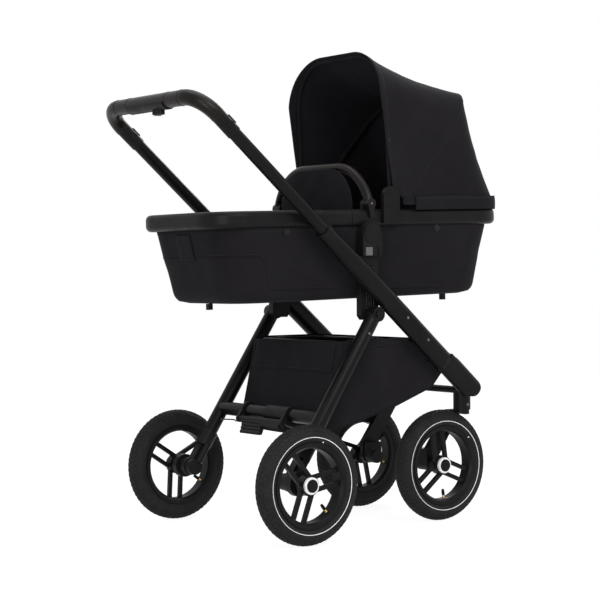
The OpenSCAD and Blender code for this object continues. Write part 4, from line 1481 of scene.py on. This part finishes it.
@dataclass
class Carrycot:
    """Soft body, seams, snaps, apron and mattress of the carrycot."""

    tilt: float = math.radians(1.5)
    origin: Point = (0.0, -0.038774, 0.761)
    corner: float = 0.090
    top_half: tuple[float, float] = (0.180, 0.426)
    taper: tuple[float, float] = (0.014, 0.040)
    rim_z: float = -0.0208
    wall_height: float = 0.1752
    shell_top: float = -0.0120
    floor_z: float = -0.196
    lining_z: float = -0.1885
    lining_gap: float = 0.006
    wall_part: float = 0.7
    floor_bend: float = 0.024
    bend_z: float = -0.172
    seam: tuple[tuple[float, float], ...] = (
        (-0.221, -0.177), (0.04, -0.171), (0.270, -0.166), (0.290, -0.163),
        (0.300, -0.150), (0.306, -0.110), (0.313, -0.092), (0.328, -0.085))
    snaps: tuple[tuple[float, float], ...] = ((0.250, -0.030), (-0.213, -0.029))
    cover_span: tuple[float, float] = (0.022, 0.4225)
    cover_half: float = 0.1625
    cover_corner: float = 0.064
    flap_half: float = 0.146
    flap_height: float = 0.1137
    flap_corner: float = 0.095
    pad: RoundedLoop = RoundedLoop(0.142, 0.362, 0.078)
    pad_z: float = -0.1657
    pad_crown: float = 0.019

    def world(self, x: float, y: float, z: float) -> Vector:
        """Point of the cot's own frame in the shared frame."""
        c, s = math.cos(self.tilt), math.sin(self.tilt)
        return Vector((x, self.origin[1] + y * c + z * s, self.origin[2] - y * s + z * c))

    def down(self, z: float) -> float:
        """Share of the way down the wall at a height."""
        return min(1.0, max(0.0, (self.rim_z - z) / self.wall_height))

    def loop(self, z: float) -> RoundedLoop:
        """Outline of the body at a height, narrower towards its floor."""
        half_w, half_l = (half - taper * self.down(z)
                          for half, taper in zip(self.top_half, self.taper))
        return RoundedLoop(half_w, half_l, self.corner)

    def skin(self, share: float, z: float, proud: float = 0.0) -> Vector:
        """Point on the body's cloth.

        Args:
            share: -1 to 1 round the body from the head end over the foot end.
            z: Height in the cot's frame.
            proud: Distance off the cloth.

        Returns:
            The point in the shared frame.
        """
        x, y, nx, ny = self.loop(z).at(share)
        curl = min(1.0, max(0.0, (self.bend_z - z) / self.floor_bend))
        inset = self.floor_bend * (1 - math.sqrt(1 - curl ** 2))
        window = math.sin(math.pi * self.down(z)) ** 0.7
        push = (ripple((x, y, z * 2.2), 8.0, 3.0) * 0.0022
                + ripple((x, y, z), 26.0, 8.0) * 0.0007 - 0.0010) * window
        push = min(0.0010, push) + proud - inset
        return self.world(x + nx * push, y + ny * push, z)

    def shell(self, u: float, v: float) -> Vector:
        """Point of the shell: floor and wall outside, then the lining down to its floor.

        Args:
            u: Share round the body.
            v: Share from the middle of the floor over the top edge to the lining's middle.

        Returns:
            The point.
        """
        share = u * 2 - 1
        low, back = (self.floor_z, 0.0) if v < 0.5 else (self.lining_z, -self.lining_gap)
        climb = abs(v - 0.5) * 2
        if climb <= self.wall_part:
            height = self.shell_top + (low - self.shell_top) * (climb / self.wall_part)
            return self.skin(share, height, back)
        edge, centre = self.skin(share, low, back), self.world(0.0, 0.0, low)
        inwards = (climb - self.wall_part) / (1.0 - self.wall_part)
        return centre + (edge - centre) * (1.0 - inwards)

    def build_body(self, wardrobe: Wardrobe) -> None:
        """Builds the soft shell of the body.

        Args:
            wardrobe: The finishes.
        """
        bm = bmesh.new()
        add_sheet(bm, self.shell, 280, 75)
        bmesh.ops.remove_doubles(bm, verts=bm.verts, dist=SHEET_WELD)
        body = finish_piece("cot_shell", bm, wardrobe.cloth, "cot")
        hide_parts("cot_body")

    def seam_path(self) -> list[Vector]:
        """Line of the body's long seam.

        Returns:
            Shares round the body and heights, as X and Y.
        """
        half = [(self.loop(z).share_at(y), z) for y, z in self.seam]
        line = [(-share, z) for share, z in half] + list(reversed(half))
        flat = [Vector((share, z, 0.0)) for share, z in line]
        return sample(360, lambda share: walk(flat, share))

    def webbing(self, u: float, v: float) -> Vector:
        """Point of the band that crosses the foot end."""
        proud = 0.0014 + 0.0005 * math.sin(math.pi * u)
        return self.skin((u - 0.5) * 0.055, -0.030 - 0.062 * v, proud)

    def build_seams(self, wardrobe: Wardrobe) -> None:
        """Builds welts, stitch rows, the snaps and the foot-end webbing.

        Args:
            wardrobe: The finishes.
        """
        line = self.seam_path()
        tube_piece("cot_seam_welt", [[self.skin(spot.x, spot.y, 0.0004) for spot in line]],
                   0.0016, wardrobe.cloth, "cot")
        under = [self.skin(spot.x, spot.y + 0.0045, 0.0006) for spot in line]
        round_top = sample(360, lambda share: self.skin(2 * share - 1, -0.0275, 0.0005))
        stitch_piece("cot_stitches", (under, round_top), wardrobe.thread, "cot")
        snap = [(0.0, 0.0020), (0.0040, 0.0020), (0.0046, 0.0011), (0.0064, 0.0011),
                (0.0074, 0.0024), (0.0092, 0.0022), (0.0100, 0.0004), (0.0100, -0.0010)]
        for side in Side:
            for number, (y, z) in enumerate(self.snaps):
                place = self.skin(side.value * self.loop(z).share_at(y), z)
                turned_piece(f"cot_snap_{side.label}_{number}", snap, 32,
                             facing(place, (side.value, 0, 0)), wardrobe.gloss, "cot",
                             sharp=45.0)
        bm, _ = thick_sheet(self.webbing, 12, 24, 0.0012)
        finish_piece("cot_webbing", bm, wardrobe.band, "cot")

    def cover(self, u: float, v: float) -> Vector:
        """Point of the domed cover over the foot half.

        Args:
            u: Share across the cot.
            v: Share from the flap to the foot end.

        Returns:
            The point.
        """
        start, end = self.cover_span
        y = start + (end - start) * v
        across = u * 2 - 1
        x = across * rounded_half(self.cover_half, self.cover_corner,
                                  y - (end - self.cover_corner))
        dome = (1 - across ** 4) * (1 - (max(0.0, v - 0.2) / 0.8) ** 4)
        wave = ripple((x, y, 0.0), 9.0, 4.0) * 0.0016
        return self.world(x, y, 0.0085 + (0.0060 + wave) * dome)

    def flap(self, u: float, v: float, back: float) -> Vector:
        """Point of the padded upright flap with a rounded top.

        Args:
            u: Share across the flap.
            v: Share from its foot to its top.
            back: -1 for the face towards the head end, 1 for the other one.

        Returns:
            The point.
        """
        height = self.flap_height * v
        across = u * 2 - 1
        half = rounded_half(self.flap_half, self.flap_corner,
                            height - (self.flap_height - self.flap_corner))
        puff = (1 - across ** 4) * math.sin(math.pi * min(1.0, 0.12 + 0.88 * v)) ** 0.6
        quilt = 0.0009 * math.cos(across * 9.4) * math.cos(v * 9.0)
        thick = back * (0.0018 + 0.0026 * puff) + quilt * puff
        return self.world(across * half, 0.027 + thick, 0.0125 + height)

    def build_apron(self, wardrobe: Wardrobe) -> None:
        """Builds the cover, its piping and the flap.

        Args:
            wardrobe: The finishes.
        """
        bm, area = thick_sheet(self.cover, 64, 80, 0.0018, SHEET_WELD)
        piece = finish_piece("apron_cover", bm, wardrobe.cloth, "cot")
        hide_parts("apron")
        edge = [self.cover(0.004, 1 - step / 60) for step in range(3, 61)]
        mirrored = [Vector((-spot.x, spot.y, spot.z)) for spot in edge]
        tube_piece("apron_piping", (edge, mirrored), 0.0017, wardrobe.band, "cot")
        bm = bmesh.new()
        for back in (-1.0, 1.0):
            add_sheet(bm, lambda u, v: self.flap(u, v, back), 60, 28)
        bmesh.ops.remove_doubles(bm, verts=bm.verts, dist=SHEET_WELD)
        bmesh.ops.bridge_loops(bm, edges=[edge for edge in bm.edges if edge.is_boundary])
        piece = finish_piece("apron_flap_cloth", bm, wardrobe.lining, None)
        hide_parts("apron_flap")
        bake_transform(piece)

    def pad_face(self, u: float, v: float, up: float) -> Vector:
        """Point of one face of the mattress, about its own middle.

        Args:
            u: Share round the pad.
            v: Share from its edge to its middle.
            up: 1 for the upper face, -1 for the lower one.

        Returns:
            The point.
        """
        x, y, _, _ = self.pad.at(u * 2 - 1)
        shrink = 1.0 - v
        crown = self.pad_crown * (1 - shrink ** 6) ** 0.5 if shrink < 1 else 0.0
        return Vector((x * shrink, y * shrink, up * crown))

    def build_mattress(self, wardrobe: Wardrobe) -> None:
        """Builds the crowned mattress, filled by a short cloth simulation.

        Args:
            wardrobe: The finishes.
        """
        bm = bmesh.new()
        for up in (-1.0, 1.0):
            add_sheet(bm, lambda u, v: self.pad_face(u, v, up), 140, 20)
        bmesh.ops.remove_doubles(bm, verts=bm.verts, dist=SHEET_WELD)
        piece = finish_piece("mattress_pad", bm, wardrobe.ticking, None)
        self.inflate(piece)
        piece.data.transform(Matrix.Translation(self.world(0, 0, self.pad_z))
                             @ Matrix.Rotation(-self.tilt, 4, "X"))
        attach(piece, "cot")
        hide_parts("mattress")

    @staticmethod
    def inflate(piece: bpy.types.Object, pressure: float = 4.0, cap: float = 0.006,
                frames: int = 20) -> None:
        """Fills a pad by air pressure.

        Args:
            piece: The pad at the origin.
            pressure: Pressure of the filling.
            cap: Farthest that a point may move.
            frames: Steps of the simulation.
        """
        scene = bpy.context.scene
        remesh = piece.modifiers.new("even_faces", "REMESH")
        remesh.mode = "VOXEL"
        remesh.voxel_size = 0.006
        graph = bpy.context.evaluated_depsgraph_get()
        even = bpy.data.meshes.new_from_object(piece.evaluated_get(graph))
        piece.modifiers.clear()
        piece.data = even
        start = [vert.co.copy() for vert in even.vertices]
        cloth = piece.modifiers.new("filling", "CLOTH")
        cloth.settings.use_pressure = True
        cloth.settings.uniform_pressure_force = pressure
        cloth.settings.effector_weights.gravity = 0.0
        for step in range(1, frames + 1):
            scene.frame_set(step)
        graph = bpy.context.evaluated_depsgraph_get()
        puffed = bpy.data.meshes.new_from_object(piece.evaluated_get(graph))
        piece.modifiers.clear()
        for vert, before in zip(puffed.vertices, start):
            move = vert.co - before
            if move.length > cap:
                vert.co = before + move.normalized() * cap
        piece.data = puffed
        puffed.shade_smooth()
        scene.frame_set(1)

    def build(self, wardrobe: Wardrobe) -> None:
        """Builds every soft part of the cot.

        Args:
            wardrobe: The finishes.
        """
        self.build_body(wardrobe)
        self.build_seams(wardrobe)
        self.build_apron(wardrobe)
        self.build_mattress(wardrobe)


# ---------------------------------------------------------------- hood


@dataclass(frozen=True)
class Arch:
    """Line across the hood: its height, corner radius and angle at each reach."""

    reach: float
    corner: float
    angles: tuple[tuple[float, float], ...]


@dataclass
class Hood:
    """Two cloth panels between the rim, the mid bow and the front bow."""

    half: float = 0.191
    foot: float = 0.038
    origin: Point = (0.0, -0.101967, 0.792665)
    tilt: float = math.radians(1.5)
    rim_arch: Arch = Arch(0.388, 0.096, ((0.0, 0.0),))
    mid_arch: Arch = Arch(0.395, 0.080, (
        (0.038, 26.0), (0.072, 29.5), (0.109, 34.8), (0.153, 40.0), (0.208, 41.2),
        (0.273, 43.4), (0.330, 46.5)))
    front_arch: Arch = Arch(0.384, 0.125, (
        (0.038, 88.0), (0.072, 91.5), (0.110, 94.5), (0.159, 95.5), (0.269, 96.0),
        (0.340, 93.8), (0.384, 92.2)))
    wall_end: float = 0.52
    corner_end: float = 0.74
    blend_length: float = 0.26
    zip_start: float = 0.035
    zip_part: float = 0.93

    def world(self, x: float, reach: float, angle: float) -> Vector:
        """Point at a reach and an angle about the pivot line.

        Args:
            x: Place across the pram.
            reach: Distance from the pivot line.
            angle: Angle from the rim up, in degrees.

        Returns:
            The point in the shared frame.
        """
        a = math.radians(angle)
        y, z = -reach * math.cos(a), reach * math.sin(a)
        c, s = math.cos(self.tilt), math.sin(self.tilt)
        return Vector((x, self.origin[1] + y * c + z * s, self.origin[2] - y * s + z * c))

    def section(self, u: float, arch: Arch) -> tuple[float, float, float, float]:
        """Shape of an arch of the hood across its width.

        Args:
            u: Share from the left foot over the top to the right foot.
            arch: The arch.

        Returns:
            Place x and reach, and the outward way's two parts.
        """
        reach, corner = arch.reach, arch.corner
        sign = 1.0 if u < 0.5 else -1.0
        t = 1.0 - abs(u - 0.5) * 2
        if t < self.wall_end:
            climbed = (reach - corner - self.foot) * t / self.wall_end
            return sign * self.half, self.foot + climbed, sign, 0.0
        if t < self.corner_end:
            a = (t - self.wall_end) / (self.corner_end - self.wall_end) * math.pi / 2
            return (sign * (self.half - corner + corner * math.cos(a)),
                    reach - corner + corner * math.sin(a), sign * math.cos(a), math.sin(a))
        inwards = (t - self.corner_end) / (1.0 - self.corner_end)
        return sign * (self.half - corner) * (1.0 - inwards), reach, 0.0, 1.0

    def arches(self, front: bool) -> tuple[Arch, Arch]:
        """Arches at the rear and the front edge of a panel."""
        return (self.mid_arch, self.front_arch) if front else (self.rim_arch, self.mid_arch)

    def panel(self, u: float, v: float, front: bool, proud: float = 0.0) -> Vector:
        """Point of a cloth panel.

        Args:
            u: Share over the arch.
            v: Share from the panel's rear edge to its front edge.
            front: Whether it is the front panel.
            proud: Distance off the cloth.

        Returns:
            The point in the shared frame.
        """
        ends = []
        for arch in self.arches(front):
            x, reach, nx, nr = self.section(u, arch)
            angle = interpolate(arch.angles, reach)
            ends.append((self.world(x, reach, angle), nx, nr, angle))
        point = ends[0][0].lerp(ends[1][0], v)
        nx, nr, angle = (ends[0][i] * (1 - v) + ends[1][i] * v for i in (1, 2, 3))
        angle = math.radians(angle)
        way = Vector((nx, -nr * math.cos(angle), nr * math.sin(angle))).normalized()
        bow = 4 * v * (1 - v)
        upper = smooth_step(abs(nr))
        sag = (0.0135 if front else 0.0100) * upper + 0.0045 * (1 - upper)
        pull = (0.0016 * ripple(point, 11.0, 1.0 if front else 6.0)
                + 0.0008 * ripple(point, 30.0, 9.0))
        return point + way * (proud - sag * bow + pull * bow ** 0.5)

    def hem(self, u: float, v: float) -> Vector:
        """Point of the hem at the front edge."""
        return self.panel(u, 0.935 + 0.065 * v, True, 0.0010 + 0.0008 * math.sin(math.pi * v))

    def zip_band(self, u: float, v: float) -> Vector:
        """Point of the band that zips the hood to the rim, a little wavy.

        Args:
            u: Share over the arch.
            v: Share from the band's lower edge to its upper one.

        Returns:
            The point.
        """
        x, reach, nx, nr = self.section(self.zip_start + self.zip_part * u, self.rim_arch)
        wave = 0.0024 + 0.0014 * math.sin(u * 44.0) * v + 0.0012 * math.sin(math.pi * v)
        low = self.world(x + nx * wave, reach + nr * wave, 0.0)
        return low + Vector((0.0, 0.0, -0.0125 + 0.0340 * v + 0.0012 * math.sin(u * 31.0) * v))

    def zip_seam(self, u: float) -> Vector:
        """Point of the stitches along the zip band."""
        _, _, nx, nr = self.section(self.zip_start + self.zip_part * u, self.rim_arch)
        return self.zip_band(u, 0.86) + Vector((nx, -nr, 0.0)) * 0.0008

    def gradient(self, piece: bpy.types.Object) -> None:
        """Bakes the placement of a piece of the hood into its mesh.

        Args:
            piece: The piece.
        """
        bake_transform(piece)

    def build_panel(self, front: bool, wardrobe: Wardrobe) -> None:
        """Builds one panel of cloth.

        Args:
            front: Whether it is the front panel.
            wardrobe: The finishes.
        """
        name = "front" if front else "rear"
        bm, area = thick_sheet(lambda u, v: self.panel(u, v, front), 170, 60, 0.0016)
        cloth = finish_piece(f"hood_cloth_{name}", bm, wardrobe.cloth, None)
        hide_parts(f"hood_{name}_panel")
        self.gradient(cloth)

    def build_edges(self, wardrobe: Wardrobe) -> None:
        """Builds the front hem, the seam over the mid bow, stitch rows and the zip band.

        Args:
            wardrobe: The finishes.
        """
        bm, _ = thick_sheet(self.hem, 170, 8, 0.0012)
        self.gradient(finish_piece("hood_hem", bm, wardrobe.band, None))
        for name, shares in (("front", (0.928, 0.975, 0.022)), ("rear", (0.978,))):
            front = name == "front"
            rows = [sample(200, lambda share: self.panel(0.01 + 0.98 * share, v, front,
                                                         0.0011 if v < 0.95 else 0.0021))
                    for v in shares]
            self.gradient(stitch_piece(f"hood_stitches_{name}", rows, wardrobe.thread, None))
        line = sample(200, lambda share: self.panel(0.075 + 0.85 * share, 0.0, True, 0.0003))
        self.gradient(tube_piece("hood_mid_welt", [line], 0.0017, wardrobe.cloth, None))
        bm, _ = thick_sheet(self.zip_band, 260, 8, 0.0012)
        finish_piece("hood_zip_band", bm, wardrobe.band, "cot")
        stitch_piece("hood_zip_stitches", [sample(260, self.zip_seam)], wardrobe.thread, "cot")

    def build(self, wardrobe: Wardrobe) -> None:
        """Builds the hood.

        Args:
            wardrobe: The finishes.
        """
        self.build_panel(False, wardrobe)
        self.build_panel(True, wardrobe)
        self.build_edges(wardrobe)
        for side in Side:
            way = (side.value, 0, 0)
            Fastener(f"hood_snap_{side.label}",
                     self.world(side.value * (self.half + 0.0004), 0.159, 92.8), way, 0.0052,
                     0.0022, "hood_front", False).build(wardrobe.gloss, "cloth")
            Fastener(f"clamp_screw_{side.label}", (side.value * 0.2013, -0.090, 0.792), way,
                     0.0042, 0.0014, "cot").build(wardrobe.plastic, "frame_plastic")


@dataclass
class CarryHandle:
    """Foot screws of the carry handle."""

    pivot: Point = (0.1893, -0.029887, 0.79478)
    foot_half: float = 0.0112

    def build(self, wardrobe: Wardrobe) -> None:
        """Builds the screws.

        Args:
            wardrobe: The finishes.
        """
        x, y, z = self.pivot
        for side in Side:
            Fastener(f"carry_screw_{side.label}", (side.value * (x + self.foot_half), y, z),
                     (side.value, 0, 0), 0.003, 0.0012, "carry_handle").build(
                         wardrobe.steel, "frame_plastic")


# ---------------------------------------------------------------- whole pram


def wheels() -> Iterable[Wheel]:
    """Places the four wheels, each with the angle of its first spoke.

    Returns:
        The wheels.
    """
    spots = {(Axle.REAR, Side.RIGHT): 50.0, (Axle.REAR, Side.LEFT): 33.0,
             (Axle.FRONT, Side.RIGHT): 82.0, (Axle.FRONT, Side.LEFT): 18.0}
    for (axle, side), phase in spots.items():
        low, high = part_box(f"{axle.value}_tyre_{side.label}")
        yield Wheel(side, axle, (low + high) / 2, phase)


def main() -> None:
    """Builds the whole pram."""
    logging.basicConfig(level=logging.INFO, format="%(message)s")
    studio = Studio()
    studio.add_camera()
    wardrobe = Wardrobe()
    wardrobe.dress_nodes(frame)
    for wheel in wheels():
        wheel.build(wardrobe)
    for part in (Chassis(), PushHandle(), RearFrame(), Basket(), Carrycot(), Hood(),
                 CarryHandle()):
        part.build(wardrobe)
    studio.build()


if __name__ == "__main__":
    main()
